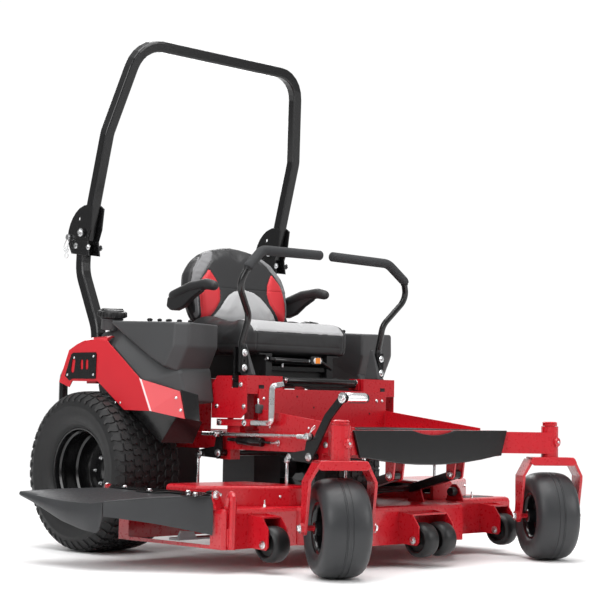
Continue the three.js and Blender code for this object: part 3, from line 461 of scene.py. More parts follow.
def bolt(body, shape, both=False, material=ZINC):
    """Keeps a fastener for its body's one piece; both adds its mirror image."""
    BOLTS.setdefault((body, material), []).append(shape)
    if both:
        BOLTS[(body, material)].append(mirror(shape))


# ---------- rear wheels
AXLE_Z, WHEEL_X = 305, 560
CARCASS = [(158, 104), (163, 112), (168, 121), (176, 130), (186, 138), (190, 139), (193, 142), (205, 146.5),
           (222, 150), (240, 150.8), (244, 152.2), (249, 152.2), (252, 150.6), (266, 147.5), (279, 141),
           (288, 131), (294, 117), (297, 95), (298.3, 60), (298.8, 25)]
CROWN = [(298.8, 0), (298.3, 60), (297, 95), (294, 117), (288, 131), (279, 141), (266, 148)]


def crown_at(s):
    """Radius, offset and outward slope of the tread a distance s from the middle, along the surface."""
    side = 1 if s >= 0 else -1
    left = abs(s)
    for (r0, a0), (r1, a1) in zip(CROWN, CROWN[1:]):
        run = hypot(r1 - r0, a1 - a0)
        if left <= run or (r1, a1) == CROWN[-1]:
            t = left / run
            return r0 + (r1 - r0) * t, side * (a0 + (a1 - a0) * t), (a1 - a0) / run, side * (r0 - r1) / run
        left -= run


def tread_block(outline, turn, height):
    """A rubber block: outline points are (along the width, along the circumference) on the crown."""
    mid_s = sum(p[0] for p in outline) / len(outline)
    mid_v = sum(p[1] for p in outline) / len(outline)
    rows = []
    for shrink, rise in ((1.0, -3.0), (0.98, height - 1.6), (0.9, height)):
        row = []
        for s, v in outline:
            s, v = mid_s + (s - mid_s) * shrink, mid_v + (v - mid_v) * shrink
            r, a, nr, na = crown_at(s)
            r, a = r + nr * rise, a + na * rise
            angle = turn + v / 300
            row.append(Vector((a, r * cos(angle), r * sin(angle))))
        rows.append(row)
    verts, faces = g_grid(rows, close_u=True)
    n = len(outline)
    faces.append([2 * n + k for k in range(n)])
    return verts, faces


PITCHES = 46
S_BLOCK = [(-17, -9), (-7, -17), (5, -9), (16, -16), (17, 9), (7, 16), (-5, 9), (-16, 17)]


def tread():
    parts = []
    step = 2 * pi / PITCHES
    for k in range(PITCHES):
        for col in range(-3, 4):
            shift = 0.5 if col % 2 else 0.0
            flip = -1 if col < 0 else 1
            outline = [(col * 35.5 + u * 0.94 * flip, v * 0.98) for u, v in S_BLOCK]
            parts.append(tread_block(outline, (k + shift) * step, 6.0))
        for side in (-1, 1):
            turn = (k + 0.5 * (side > 0)) * step
            shoulder = [(side * 125, -12), (side * 139, -18), (side * 152, -14), (side * 163, -9),
                        (side * 163, 5), (side * 152, 3), (side * 139, 14), (side * 125, 16)]
            parts.append(tread_block(shoulder, turn, 4.5))
    return g_join(*parts)


def wheel_at(shape, x, y, z):
    return [Vector(v) + Vector((x, y, z)) for v in shape[0]], shape[1]


tyre = g_join(g_lathe(both_ways(CARCASS), (0, 0, 0), "x", 96, closed=True), tread())
RIM_PROFILE = [(26, -118), (28, -116), (28, -62), (60, -60), (68, -41), (140, -41), (149, -36), (150, -100),
               (154, -110), (163, -117), (167, -117), (166, -112), (160, -107.5), (157, -106), (156.5, -90),
               (151.5, -84), (151.5, -30), (156.5, 40), (156.5, 104), (160, 107.5), (166, 112), (168, 117),
               (164, 118.5), (158, 117), (155, 111), (154, 96), (148, 90), (146.5, 60), (150, 54), (149, 20),
               (142, 14), (140, -18), (128, -33), (116, -34.5)]
disc_holes = [circle(u, v, 15, 20) for u, v in circle(0, 0, 112, 8, 22.5)]
disc = g_plate(circle(0, 0, 143, 72), "x", -40, -34, disc_holes)
hub = g_lathe([(20, -34), (82, -34), (78, -24), (66, -10), (62, -6), (40, -5), (37, 4), (30, 8), (0, 8)],
              (0, 0, 0), "x", 48)
rim = g_join(g_lathe(RIM_PROFILE, (0, 0, 0), "x", 80), disc, hub)
lugs = g_join(*[g_bolt((-5.5, u, v), (1, 0, 0), 9, washer=False, stud=14) for u, v in circle(0, 0, 51, 5)])
stem_valve = g_join(g_rod((40, -130, -56), (58, -126, -54), 4, 3.4, 14),
                    g_rod((58, -126, -54), (64, -124.7, -53.3), 4.6, 4.4, 14))
pair("tyre_rear", wheel_at(tyre, WHEEL_X, 0, AXLE_Z), TREAD, "rear_wheel_{}", ["rear_tyre_{}"],
     slot="tyre_rubber", angle=50)
pair("rim_rear", wheel_at(rim, WHEEL_X, 0, AXLE_Z), RIM, "rear_wheel_{}", ["rear_rim_{}"], slot="black_paint",
     angle=40)
pair("lug_nuts", wheel_at(lugs, WHEEL_X, 0, AXLE_Z), ZINC, "rear_wheel_{}")
pair("valve_stem", wheel_at(stem_valve, WHEEL_X, 0, AXLE_Z), DARK_PLASTIC, "rear_wheel_{}")

# ---------- caster wheels
CASTER = (570, -1250, 165)
STEM_Y = -1275
TURNED = {"left": radians(-33), "right": radians(-30)}


def turned(shape, side):
    """A shape drawn round the left caster as if it ran straight, put where that side's caster stands."""
    s = 1 if side == "left" else -1
    turn = Matrix.Rotation(TURNED[side] * s, 3, "Z")
    stem = Vector((CASTER[0], STEM_Y, 0))
    verts = [turn @ (Vector(v) - stem) + stem for v in shape[0]]
    return (verts, shape[1]) if s > 0 else mirror((verts, shape[1]))


half = [(81, 57), (84, 62), (88, 68), (94, 74), (104, 79.5), (116, 82), (128, 82.3), (134, 81.5), (143, 78),
        (151, 71), (157.5, 60), (161.5, 45), (163.5, 28), (163.8, 24)]
groove = lambda a: [(164.3, a + 2.2), (163, a + 1.2), (163, a - 1.2), (164.3, a - 2.2)]
caster_profile = half + groove(14) + groove(9) + groove(-9) + [(r, -a) for r, a in reversed(half)]
nubs = g_join(*[g_rod((8 * (k % 2) + 24, 163 * c, 163 * s), (8 * (k % 2) + 24, 164.8 * c, 164.8 * s), 0.9, 0.6, 6)
                for k, (c, s) in enumerate(circle(0, 0, 1, 9))])
caster = g_join(g_lathe(caster_profile, (0, 0, 0), "x", 96, closed=True), nubs)
pair("tyre_caster", wheel_at(caster, *CASTER), SMOOTH_RUBBER, "caster_wheel_{}", ["caster_tyre_{}"],
     turned, slot="tyre_rubber", angle=50)
caster_rim = [(10.4, 80), (20, 80), (23, 77), (24, 60), (24, 34), (30, 26), (62, 24), (70, 30), (72, 50),
              (73, 60), (80, 67), (86, 68), (87, 65), (82, 60), (80, 54)]
rim_shape = g_lathe(both_ways(caster_rim), (0, 0, 0), "x", 56, closed=True)
spokes = g_join(*[g_rod((24 * s, 44 * cos(a), 44 * sin(a)), (27 * s, 44 * cos(a), 44 * sin(a)),
                        8, 6.5, 14) for a in (0, 1.57, 3.14, 4.71) for s in (-1, 1)])
pair("rim_caster", wheel_at(g_join(rim_shape, spokes), *CASTER), RIM, "caster_wheel_{}", ["caster_rim_{}"],
     turned, slot="black_paint", angle=40)
for t in (-1, 1):
    end = g_bolt((CASTER[0] + t * 127.5, CASTER[1], CASTER[2]), (t, 0, 0), 11, stud=8)
    for side in ("left", "right"):
        BOLTS.setdefault((f"caster_{side}", ZINC), []).append(turned(end, side))
ridge_outline = [(-92, 366), (-84, 382), (-78, 387.5), (78, 387.5), (84, 382), (92, 366), (78, 356), (-78, 356)]
ridge = g_plate([(CASTER[0] + u, v) for u, v in ridge_outline], "y", -1325, -1316.5)
top_plate = g_box(CASTER[0] - 80, CASTER[0] + 80, -1316.5, -1236, 380.4, 387)
pair("fork_ridge", ridge, RED, "caster_{}", place=turned, edge=2.6, segments=3)
pair("fork_crown", top_plate, RED, "caster_{}", place=turned, edge=2.2)
stem_cap = g_lathe([(0, 513), (26, 513), (28.5, 514.5), (28.5, 517), (24, 520), (0, 520.5)],
                   (CASTER[0], STEM_Y, 0), "z", 40)
pair("stem_cap", stem_cap, RED, "caster_{}", place=turned)
boss = g_turned([(0, 0), (17, 0), (17, 7), (14, 9), (0, 9)], (CASTER[0], -1306, 444), (0, -1, 0), 32)
pair("head_boss", boss, RED)
bolt("chassis", g_bolt((CASTER[0], -1315, 444), (0, -1, 0), 5.5, washer=False), both=True)

# ---------- anti-scalp rollers
side_half = [(9.3, 20), (14, 20), (15, 33), (19, 34), (20, 25), (38, 24), (42, 35), (46, 36.5), (53, 33),
             (58.5, 26), (61.2, 17), (61.9, 8)]
roll = g_lathe(side_half + [(62, 0)] + both_ways(side_half)[len(side_half):], (0, 0, 0), "x", 56, closed=True)
pair("scalp_roller", wheel_at(roll, 620, -1010, 98), DARK_PLASTIC, "roller_{}", ["roller_{}"],
     slot="black_plastic", angle=45)
sleeve = g_rod((-12, -1178, 98), (12, -1178, 98), 22, sides=24)
piece("scalp_roller_centre", g_join(wheel_at(roll, -48, -1178, 98), wheel_at(roll, 48, -1178, 98), sleeve),
      DARK_PLASTIC, "roller_centre", replaces=["roller_centre"], slot="black_plastic", angle=45)
for s in (-1, 1):
    for t in (-1, 1):
        bolt("deck", g_bolt((s * 620 + t * 46, -1010, 98), (t, 0, 0), 9, stud=5))
    bolt("deck", g_bolt((s * 96, -1178, 98), (s, 0, 0), 9, stud=5))

# ---------- fuel tanks
pod = g_hull([(392, -462, 861), (548, -479, 865), (588, -440, 864), (600, -385, 868), (596, -60, 880),
              (392, -60, 884), (392, -462, 776), (553, -476, 776), (594, -440, 776), (404, -425, 684),
              (560, -425, 682), (596, -390, 703), (600, -316, 737), (598, -183, 808), (420, -200, 700)])
body = g_hull([(620, -125, 778), (622, -306, 648), (552, -425, 604), (540, -460, 572), (404, -460, 572),
               (404, -440, 690), (556, -440, 684), (404, -340, 560), (588, -340, 604), (404, -200, 640),
               (615, -200, 650), (404, 70, 705), (590, 70, 705), (570, 68, 770), (525, 70, 838), (404, 70, 868),
               (404, -300, 868), (548, -135, 872)])
CAP_UP = (4, -8, 47.5)
neck = g_turned([(0, 0), (41, 0), (40, 36), (44, 38), (44, 44), (38, 46), (0, 46)], (545, -10, 850), CAP_UP, 40)
pair("tank", g_join(pod, body), TANK, "chassis", ["fuel_tank_{}"], slot="grey_plastic", edge=9, segments=4,
     angle=25)
pair("tank_neck", neck, TANK)
cap_shape = [(0, 0), (52, 0), (53.5, 2), (54, 18), (52, 23), (46, 25), (44, 28), (40, 30),
             (10, 30.5), (0, 30.5)]
ribs = g_join(*[g_rod((54 * c, 54 * s, 2), (53.5 * c, 53.5 * s, 20), 4.2, 3.6, 10)
                for c, s in circle(0, 0, 1, 20)])
bar = g_box(-40, 40, -7, 7, 28, 33)
cap_all = aligned(g_join(g_lathe(cap_shape, (0, 0, 0), "z", 60), ribs, bar), (549, -18, 897.8), CAP_UP)
pair("cap", cap_all, DARK_PLASTIC, "fuel_cap_{}", ["fuel_cap_{}"], slot="black_plastic")
for y, r in ((-90, 11), (-150, 9), (-205, 12), (-268, 10), (-330, 8)):
    z = 884 + (y + 60) * 23 / 402  # the panel falls 23 mm towards the front
    knob = g_lathe([(0, z - 4), (r * 1.25, z - 4), (r * 1.25, z + 1), (r * 0.7, z + 3), (r, z + 7), (r, z + 12),
                    (r * 0.6, z + 15), (0, z + 15.5)], (420, y, 0), "z", 28)
    piece(f"panel_knob_{abs(y)}_right", mirror(knob), DARK_PLASTIC)
    piece(f"panel_knob_{abs(y)}_left", knob, DARK_PLASTIC)

# ---------- fender details
vent_outline = [(150, 668), (112, 752), (100, 757), (-40, 757), (-46, 750), (-44, 656), (104, 657), (122, 650)]
vent = g_plate(vent_outline, "x", 640.4, 643.4, [slot_hole(102, 690, -6, 34, 11), slot_hole(44, 700, 0, 22, 9),
                                                  slot_hole(12, 700, 0, 22, 9)])
pair("vent_plate", vent, BLACK, edge=0.8)
for x, y, z in ((643.4, 134, 672), (643.4, 92, 738), (643.4, -30, 742), (643.4, -30, 672),
                (640.2, -196, 566), (640.2, -166, 566)):
    bolt("chassis", g_dome((x, y, z), (1, 0, 0), 5), both=True)
for u, v in ((0.86, 0.7), (0.92, 0.28)):
    top = Vector((640, -310, 655)).lerp(Vector((560, -444, 612)), u)
    low = Vector((640, -372, 538)).lerp(Vector((560, -475, 511)), u)
    spot = low.lerp(top, v)
    bolt("chassis", g_dome(spot + Vector((0.4, -0.6, 0.1)), (0.83, -0.54, 0.12), 6), both=True)
nose_plate = g_sheet([(556, -446, 618), (500, -478, 600), (497, -487, 507), (556, -474, 511)], (0, 4, 0))
pair("nose_plate", nose_plate, BLACK, edge=1)
skirt = g_hull([(634, -60, 652), (634, -300, 640), (560, -430, 520), (470, -470, 500), (470, -420, 420),
                (560, -340, 420), (622, -200, 560), (628, -60, 640), (470, -300, 420), (600, -60, 650)])
pair("wheel_shield", skirt, BLACK, edge=2)

# ---------- discharge chute
chute_top = []
RIM_LINE = [Vector(p) for p in ((-1036, -618, 229), (-1050, -568, 229), (-1056, -420, 233), (-1058, -300, 238),
                                (-1060, -172, 245))]
for i in range(17):
    t = i / 16
    a = Vector((-782, -888, 255)).lerp(Vector((-782, -336, 259)), t)
    k0 = min(3, int(t * 4))
    far = RIM_LINE[k0].lerp(RIM_LINE[k0 + 1], t * 4 - k0)
    row = []
    for k in range(13):
        w = k / 12
        p = a.lerp(far, w)
        p.z += 5 * sin(pi * w) * (1 - 0.4 * t) - 9 * sin(pi * t) * w ** 2
        row.append(p)
    chute_top.append(row)
DEPTHS = (0, 0.04, 0.1, 0.3, 0.6, 0.9, 1.0)
front_skirt, outer_skirt = [], []
for k in range(13):
    w = k / 12
    depth = 128 - 82 * w
    front_skirt.append([chute_top[0][k] + Vector((-1.5, -3.0, 0)) * sin(d * 2.2) - Vector((0, 0, depth * d))
                        for d in DEPTHS])
for i in range(17):
    t = i / 16
    depth = float(np.interp(t, [0, 0.04, 0.12, 0.3, 0.5, 0.7, 0.86, 1], [46, 84, 100, 90, 66, 40, 22, 11]))
    curl = float(np.interp(t, [0, 0.5, 1], [3, 9, 4]))
    outer_skirt.append([chute_top[i][12] + Vector((-curl, 0, 0)) * sin(d * 3.0) - Vector((0, 0, depth * d))
                        for d in DEPTHS])
chute_shape = g_join(g_grid(chute_top), g_grid(front_skirt), g_grid(outer_skirt))
chute = piece("chute_flap", chute_shape, CHUTE, "chute", replaces=["discharge_chute"], slot="grey_plastic",
              angle=60)
solidify = chute.modifiers.new("thickness", "SOLIDIFY")
solidify.thickness = 0.0045
solidify.offset = 0.0
round_edge = chute.modifiers.new("edge", "BEVEL")
round_edge.width = 0.0022
round_edge.segments = 3
round_edge.angle_limit = radians(40)
ridge = g_tube([tuple(p + Vector((0, -1, 2.2))) for p in chute_top[0][::2]], 3.4, bend=0, sides=12)
piece("chute_ridge", ridge, CHUTE, "chute")
for y in (-874, -352):
    plate_y = g_plate([(-786, 257), (-790, 272), (-776, 276), (-768, 264), (-772, 258)], "y", y - 14, y + 14)
    piece(f"chute_hinge_{abs(y)}", plate_y, SATIN, "chute", edge=1)
hinge_bar = g_plate([(-774, -884), (-774, -345), (-800, -345), (-806, -505), (-838, -545), (-838, -650),
                     (-806, -690), (-812, -770), (-856, -806), (-856, -884)], "z", 0, 3.5)
hinge_bar = [Vector((v[0], v[1], v[2] + 264 + (v[0] + 782) * 0.11)) for v in hinge_bar[0]], hinge_bar[1]
piece("chute_hinge_plate", hinge_bar, BLACK, "chute", edge=1)
for x, y in ((-828, -850), (-800, -780), (-822, -600), (-796, -430)):
    bolt("chute", g_bolt((x, y, 268 + (x + 782) * 0.11), (0, 0, 1), 7))
bolt("deck", g_bolt((-782, -902.5, 262), (0, -1, 0), 10, stud=4))
bolt("deck", g_bolt((-782, -313.5, 262), (0, 1, 0), 10, stud=4))
piece("chute_pin", g_rod((-782, -903, 262), (-782, -314, 262), 5.5), ZINC, "deck")

# ---------- seat
def soften(ob, cap_mm, pressure=4.0):
    """Puffs a closed cushion with a cloth simulation, never more than cap_mm from the drawn surface."""
    mesh = ob.data
    rest = np.empty(len(mesh.vertices) * 3, np.float32)
    mesh.vertices.foreach_get("co", rest)
    cloth = ob.modifiers.new("cloth", "CLOTH")
    s = cloth.settings
    s.use_pressure = True
    s.uniform_pressure_force = pressure
    s.quality = 4
    s.mass = 0.3
    s.tension_stiffness = s.compression_stiffness = 18
    s.shear_stiffness = 10
    s.bending_stiffness = 1.2
    s.effector_weights.gravity = 0
    cloth.collision_settings.use_collision = False
    cloth.point_cache.frame_start, cloth.point_cache.frame_end = 1, 20
    scene = bpy.context.scene
    for f in range(1, 21):
        scene.frame_set(f)
    dg = bpy.context.evaluated_depsgraph_get()
    moved = np.empty_like(rest)
    ob.evaluated_get(dg).data.vertices.foreach_get("co", moved)
    ob.modifiers.remove(cloth)
    scene.frame_set(1)
    a, b = rest.reshape(-1, 3), moved.reshape(-1, 3)
    d = np.nan_to_num(b - a)
    length = np.linalg.norm(d, axis=1, keepdims=True)
    cap = cap_mm / 1000
    d *= np.minimum(1, cap / np.maximum(length, 1e-9))
    mesh.vertices.foreach_set("co", (a + d).astype(np.float32).ravel())
    mesh.update()


def bake(ob):
    """Swaps the mesh for what its modifiers make of it."""
    dg = bpy.context.evaluated_depsgraph_get()
    mesh = bpy.data.meshes.new_from_object(ob.evaluated_get(dg))
    ob.modifiers.clear()
    ob.data = mesh
    for f in mesh.polygons:
        f.use_smooth = True


def puff(ob, cap_mm):
    """Turns a drawn pad into an even mesh, softens it and refines it."""
    mod = ob.modifiers.new("remesh", "REMESH")
    mod.mode = "VOXEL"
    mod.voxel_size = 0.006
    smooth = ob.modifiers.new("smooth", "SMOOTH")
    smooth.factor, smooth.iterations = 0.5, 6
    bake(ob)
    soften(ob, cap_mm)
    fine = ob.modifiers.new("fine", "SUBSURF")
    fine.levels = fine.render_levels = 1
    bake(ob)


def points_of(ob):
    co = np.empty(len(ob.data.vertices) * 3, np.float32)
    ob.data.vertices.foreach_get("co", co)
    return (co.reshape(-1, 3).astype(float) - np.array(ORIGIN)) * 1000


def set_points(ob, mm):
    ob.data.vertices.foreach_set("co", (mm / 1000 + np.array(ORIGIN)).astype(np.float32).ravel())
    ob.data.update()


def normals_of(ob):
    n = np.empty(len(ob.data.vertices) * 3, np.float32)
    ob.data.vertices.foreach_get("normal", n)
    return n.reshape(-1, 3).astype(float)


def outline_arcs(half_x, front, back, r):
    return (circle(-half_x + r, front + r, r, 8, 180, 90) + circle(half_x - r, front + r, r, 8, 270, 90)
            + circle(half_x - r, back - r, r, 8, 0, 90) + circle(-half_x + r, back - r, r, 8, 90, 90))


# the cushion: a tall charcoal box with a pale top panel and raised rear bolsters
rows = []
for z, grow, roll in ((765, 0.955, 0), (768, 0.975, 0), (780, 0.992, 0), (800, 1.0, 0), (842, 1.0, 0),
                      (856, 0.99, 5), (867, 0.975, 16), (875, 0.945, 32), (880, 0.9, 48), (882, 0.6, 40)):
    rows.append([Vector((x * grow, -313 + (y + 313) * grow + roll * max(0, (-y - 313) / 200) ** 2, z))
                 for x, y in outline_arcs(290, -513, -114, 62)])
verts, faces = g_grid(rows, close_u=True)
n = len(rows[0])
faces += [list(range(n)), [(len(rows) - 1) * n + k for k in range(n)]]
cushion = piece("seat_cushion_pad", (verts, faces), [VINYL, PALE_VINYL], "seat", angle=180)
puff(cushion, 7)


def top_region(x, y, z):
    """Signed distance in millimetres from the pale panel's edge, positive inside it."""
    narrow = np.interp(y, [-520, -430, -330, -260, -200, -120], [246, 246, 214, 172, 160, 160])
    over = z - np.interp(y, [-520, -470, -440, -100], [848, 848, 812, 780])
    return np.minimum(np.minimum(over, narrow - np.abs(x)), -150 - y)


def finish_cushion(ob):
    p, nrm = points_of(ob), normals_of(ob)
    x, y, z = p.T
    up = np.clip((z - 820) / 50, 0, 1)
    d = top_region(x, y, z)
    rise = np.exp(-((np.abs(x) - 225) / 55) ** 2) * np.exp(-((y + 215) / 85) ** 2) * 26
    dish = -9 * np.exp(-(x / 190) ** 2) * np.exp(-((y + 300) / 150) ** 2)
    p[:, 2] += up * (rise + dish) + 8 * up * np.clip((-y - 380) / 60, 0, 1) * np.clip((y + 505) / 40, 0, 1)
    seam = np.exp(-(d / 4.0) ** 2) * (z > 835)
    corner = np.exp(-((np.abs(x) - 236) / 3.5) ** 2) * (y < -440) * (z < 870)
    belt = np.exp(-((z - 796) / 3.0) ** 2) * (nrm[:, 2] < 0.6) * 0.6
    side = np.exp(-((y + 330) / 3.5) ** 2) * (np.abs(x) > 250) * (z < 868)
    groove = np.clip(seam * 1.2 + corner + belt + side, 0, 1.4)
    p -= nrm * groove[:, None] * 2.6
    set_points(ob, p)


finish_cushion(cushion)
p = points_of(cushion)
for f in cushion.data.polygons:
    c = p[list(f.vertices)].mean(0)
    f.material_index = 1 if c[2] > 845 and top_region(*c) > 0 else 0
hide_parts("seat_cushion")

# the back: drawn flat as width u and height w, then leaned back
LEAN = radians(13)


def lean(u, w, t):
    """Width, height up the back and thickness (towards the rear) as a point on the leaned back."""
    return Vector((u, -196 + t * cos(LEAN) + w * sin(LEAN), 901 - t * sin(LEAN) + w * cos(LEAN)))


def half_width(w):
    return float(np.interp(w, [0, 30, 80, 150, 200, 250, 285, 308, 322, 330],
                           [232, 254, 270, 273, 262, 224, 176, 122, 66, 12]))


rows = []
levels = [0, 4, 12, 30, 60, 90, 120, 150, 180, 205, 230, 255, 275, 292, 306, 316, 324, 330]
for w in levels:
    ring = []
    hw = half_width(w)
    thick = 106 * min(1, sqrt(max(0.04, 1 - (max(0, w - 225) / 106) ** 2)))
    base = min(1, (w + 10) / 24)
    for k in range(48):
        a = 2 * pi * k / 48
        c, s = cos(a), sin(a)
        u = hw * copysign(abs(c) ** 0.5, c)
        t = thick * base * 0.5 * copysign(abs(s) ** 0.6, s)
        wrap = -16 * (abs(u) / 272) ** 2.4 * (1 - w / 400)
        ring.append(lean(u, w, 55 + t + wrap * (0.8 if s < 0 else 0.0)))
    rows.append(ring)
verts, faces = g_grid(rows, close_u=True)
faces += [list(range(48)), [(len(rows) - 1) * 48 + k for k in range(48)]]
back = piece("seat_back_pad", (verts, faces), [VINYL, PALE_VINYL, GREY_VINYL, RED_VINYL], "seat", angle=180)
puff(back, 6)


def back_uw(p):
    y, z = p[:, 1] + 196, p[:, 2] - 901
    return p[:, 0], y * sin(LEAN) + z * cos(LEAN), y * cos(LEAN) - z * sin(LEAN)


def back_regions(u, w):
    """Signed distances, positive inside: the pale lumbar arch, the red side panels, the grey crescents."""
    a = np.abs(u)
    arch_edge = np.interp(w, [-20, 0, 40, 80, 105, 122, 132], [200, 186, 148, 112, 86, 54, 0])
    arch = np.where(w < 132, arch_edge - a, -(w - 132))
    inner = np.interp(w, [-20, 0, 40, 80, 120, 160, 205], [214, 202, 166, 136, 128, 138, 166])
    outer = np.interp(w, [-20, 0, 60, 120, 160, 205], [222, 226, 232, 230, 218, 176])
    red = np.minimum(np.minimum(a - inner, outer - a), 205 - w)
    heights = [-20, 0, 60, 120, 160, 210, 250, 290, 330]
    near = np.interp(w, heights, [230, 233, 238, 236, 224, 184, 146, 118, 112])
    far = np.interp(w, heights, [236, 242, 250, 256, 254, 236, 204, 164, 150])
    crescent = np.minimum(a - near, far - a)
    return arch, red, crescent


p, nrm = points_of(back), normals_of(back)
u, w, t = back_uw(p)
arch, red, crescent = back_regions(u, w)
front_side = nrm[:, 1] < 0.15
seams = np.zeros(len(p))
for d in (arch, red, crescent):
    seams = np.maximum(seams, np.exp(-(d / 4.5) ** 2))
swell = 7 * np.clip(arch / 40, 0, 1) + 4 * np.clip(red / 18, 0, 1)
p += nrm * (front_side * (swell - 3.2 * seams))[:, None]
piping = np.exp(-((t - 58) / 5) ** 2) * (w > 6)
p += nrm * (piping * 2.5)[:, None]
set_points(back, p)
for f in back.data.polygons:
    c = p[list(f.vertices)].mean(0)[None, :]
    cu, cw, ct = back_uw(c)
    ar, rd, cr = (float(d[0]) for d in back_regions(cu, cw))
    if f.normal.y < -0.1 and ct[0] < 46 and cw[0] > 4:
        f.material_index = 1 if ar > 0 else 3 if rd > 0 else 2 if cr > 0 else 0
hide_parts("seat_back")
SHELL = [(s * u, w) for u, w in ((205, 10), (225, 120), (170, 230), (90, 280)) for s in (-1, 1)]
shell = g_hull([lean(u, w, t) for u, w in SHELL for t in (106, 114)])
piece("seat_back_shell", shell, DARK_PLASTIC, "seat", edge=6, segments=3)
for s in (-1, 1):
    rail = g_box(s * 196 - 20, s * 196 + 20, -500, -130, 757, 764.5)
    piece(f"seat_rail_{SIDE[s]}", rail, SATIN, "seat", edge=2)

# armrests: a dark pad over a tapering web
pad_line = [(304, -72, 988), (304, -120, 1000), (304, -200, 1022), (304, -290, 1030), (304, -350, 1018)]
pad = g_tube(pad_line, 22, bend=60, steps=8, sides=28, side=(1, 0, 0), cap=20,
             radii=([0, 0.15, 0.6, 0.85, 1], [0.85, 0.95, 1.0, 0.95, 0.8]))
web = g_plate([(-62, 950), (-68, 986), (-150, 1006), (-262, 1020), (-268, 1004), (-215, 978), (-165, 945),
               (-120, 932), (-86, 934)], "x", 290, 318)
for side, form in (("left", pad), ("right", mirror(pad))):
    soft = piece(f"armrest_pad_{side}", form, VINYL, f"armrest_{side}", replaces=[f"armrest_{side}"],
                 slot="seat_vinyl", angle=80)
pair("armrest_web", web, VINYL, "armrest_{}", edge=7, segments=4)
pair("armrest_bracket", g_plate([(-112, 936), (-66, 944), (-66, 985), (-104, 992)], "x", 283, 295.5), SATIN,
     "seat", edge=2)
bolt("seat", g_bolt((295.5, -90, 962), (1, 0, 0), 8), both=True)

# the seat's black rods, latch and front bar, on the platform
under = [g_tube([(-172, -507, 742), (-60, -512, 738), (30, -512, 738)], 9, bend=20),
         g_rod((-150, -509, 740), (20, -512, 738), 10.5),
         g_tube([(60, -505, 745), (105, -508, 741), (175, -496, 712)], 8, bend=20),
         g_box(-170, 170, -492, -478, 700, 716)]
piece("seat_rods", g_join(*under), BLACK, "seat_platform")
ends = g_join(g_rod((-178, -506, 743), (-186, -505, 743.5), 7), g_rod((28, -512, 738), (46, -511, 740), 7),
              g_rod((-90, -495, 712), (-90, -495, 730), 5))
piece("rod_ends", ends, ZINC, "seat_platform")
latch = [(40, 728), (56, 725), (84, 725), (104, 733), (104, 751), (84, 759), (56, 759), (40, 756)]
piece("latch_body", g_plate(latch, "y", -524, -512), DARK_PLASTIC, "seat_platform", edge=2.5)
latch_rim = [(94, 742), (87.4, 753.2), (56.6, 753.2), (50, 742), (56.6, 730.8), (87.4, 730.8)]
piece("latch_rim", g_plate(latch_rim, "y", -527, -521), WHITE, "seat_platform", edge=1)
latch_button = [(84, 753), (60, 753), (60, 731), (84, 731)]
piece("latch_button", g_plate(latch_button, "y", -529, -524), ORANGE, "seat_platform", edge=1)
front_bar = g_tube([(-188, -618, 660), (186, -618, 660)], 10, bend=0, sides=28, cap=8)
piece("platform_bar", front_bar, BLACK, "seat_platform")
lip = g_plate([(-609, 640), (-600, 640), (-553, 664), (-553, 670), (-600, 650)], "x", -140, 130)
piece("platform_lip", lip, SATIN, "seat_platform", edge=1)
for s in (-1, 1):
    bolt("seat_platform", g_bolt((s * 190, -618, 660), (s, 0, 0), 7))

# ---------- lap bars
LX, LY = 373, -568
BAR = [(LX, LY, 686), (LX, LY, 790), (366, -600, 894), (457, -641, 1004), (425, -658, 1072), (345, -642, 1137),
       (27, -634, 1142)]
bar_shape = g_tube(BAR[:-1] + [(70, -635, 1141.3)], 12.5, bend=64, steps=12, sides=28)
collar_low, grip_low, collar_top = (Vector(BAR[3]).lerp(Vector(BAR[4]), t) for t in (0.8, 0.86, 0.88))
grip = g_tube([grip_low, BAR[4], BAR[5], BAR[6]], 18.5, bend=64, steps=12, sides=32, cap=7)
collar = g_tube([collar_low, collar_top], 15, bend=0, sides=28)
pair("bar_lap", bar_shape, BLACK, "lap_bar_{}", ["lap_bar_{}"], slot="black_paint", angle=60)
pair("grip_lap", grip, FOAM, "lap_bar_{}", ["lap_grip_{}"], slot="grip_foam", angle=60)
pair("grip_collar", collar, DARK_PLASTIC, "lap_bar_{}")
strap = g_plate([(LX - 15, 684), (LX + 15, 684), (LX + 15, 770), (LX + 11, 780), (LX - 11, 780),
                 (LX - 15, 770)], "y", -587, -580.7, [circle(LX, 728, 4, 12)])
pair("lever_strap", strap, BLACK, "lap_bar_{}", edge=1.2)
for s in (1, -1):
    for z in (702, 758):
        bolt(f"lap_bar_{SIDE[s]}", g_bolt((s * LX, -587.5, z), (0, -1, 0), 8.5, stud=4))
boot = g_hull([(333, -607, 676), (352, -607, 676), (360, -545, 676), (322, -545, 676), (345, -566, 792),
               (351, -566, 792), (348, -548, 792), (340, -560, 776)])
pair("lever_boot", boot, TANK, edge=2.5)

# ---------- consoles, bulkhead and pedals
for s in (-1, 1):
    x = s * 330
    hole = [(x - 13, 618), (x + 13, 618), (x + 13, 640), (x - 13, 640)]
    # Painted shade: a dark plate set behind the console's opening stands in for the shade inside it.
    piece(f"console_opening_shade_{SIDE[s]}", g_plate(hole, "y", -635.2, -633), VOID)
    piece(f"console_latch_{SIDE[s]}", g_box(x - 10, x + 12, -637, -634.5, 621, 633), DARK_PLASTIC, edge=1)
    for x, r in ((290, 7), (322, 6)):
        bolt("chassis", g_dome((s * x, -640.2, 590), (0, -1, 0), r))
    for y, z in ((-618, 560), (-470, 560), (-600, 640)):
        bolt("chassis", g_bolt((s * 401.2, y, z), (s, 0, 0), 6))
    for y in (-700, -900, -1080):
        bolt("chassis", g_dome((s * 345.3, y, 486), (s, 0, 0), 5))
    for y, r in ((-575, 8), (-760, 7), (-1000, 7)):
        bolt("chassis", g_bolt((s * 360.2, y, 430), (s, 0, 0), r))
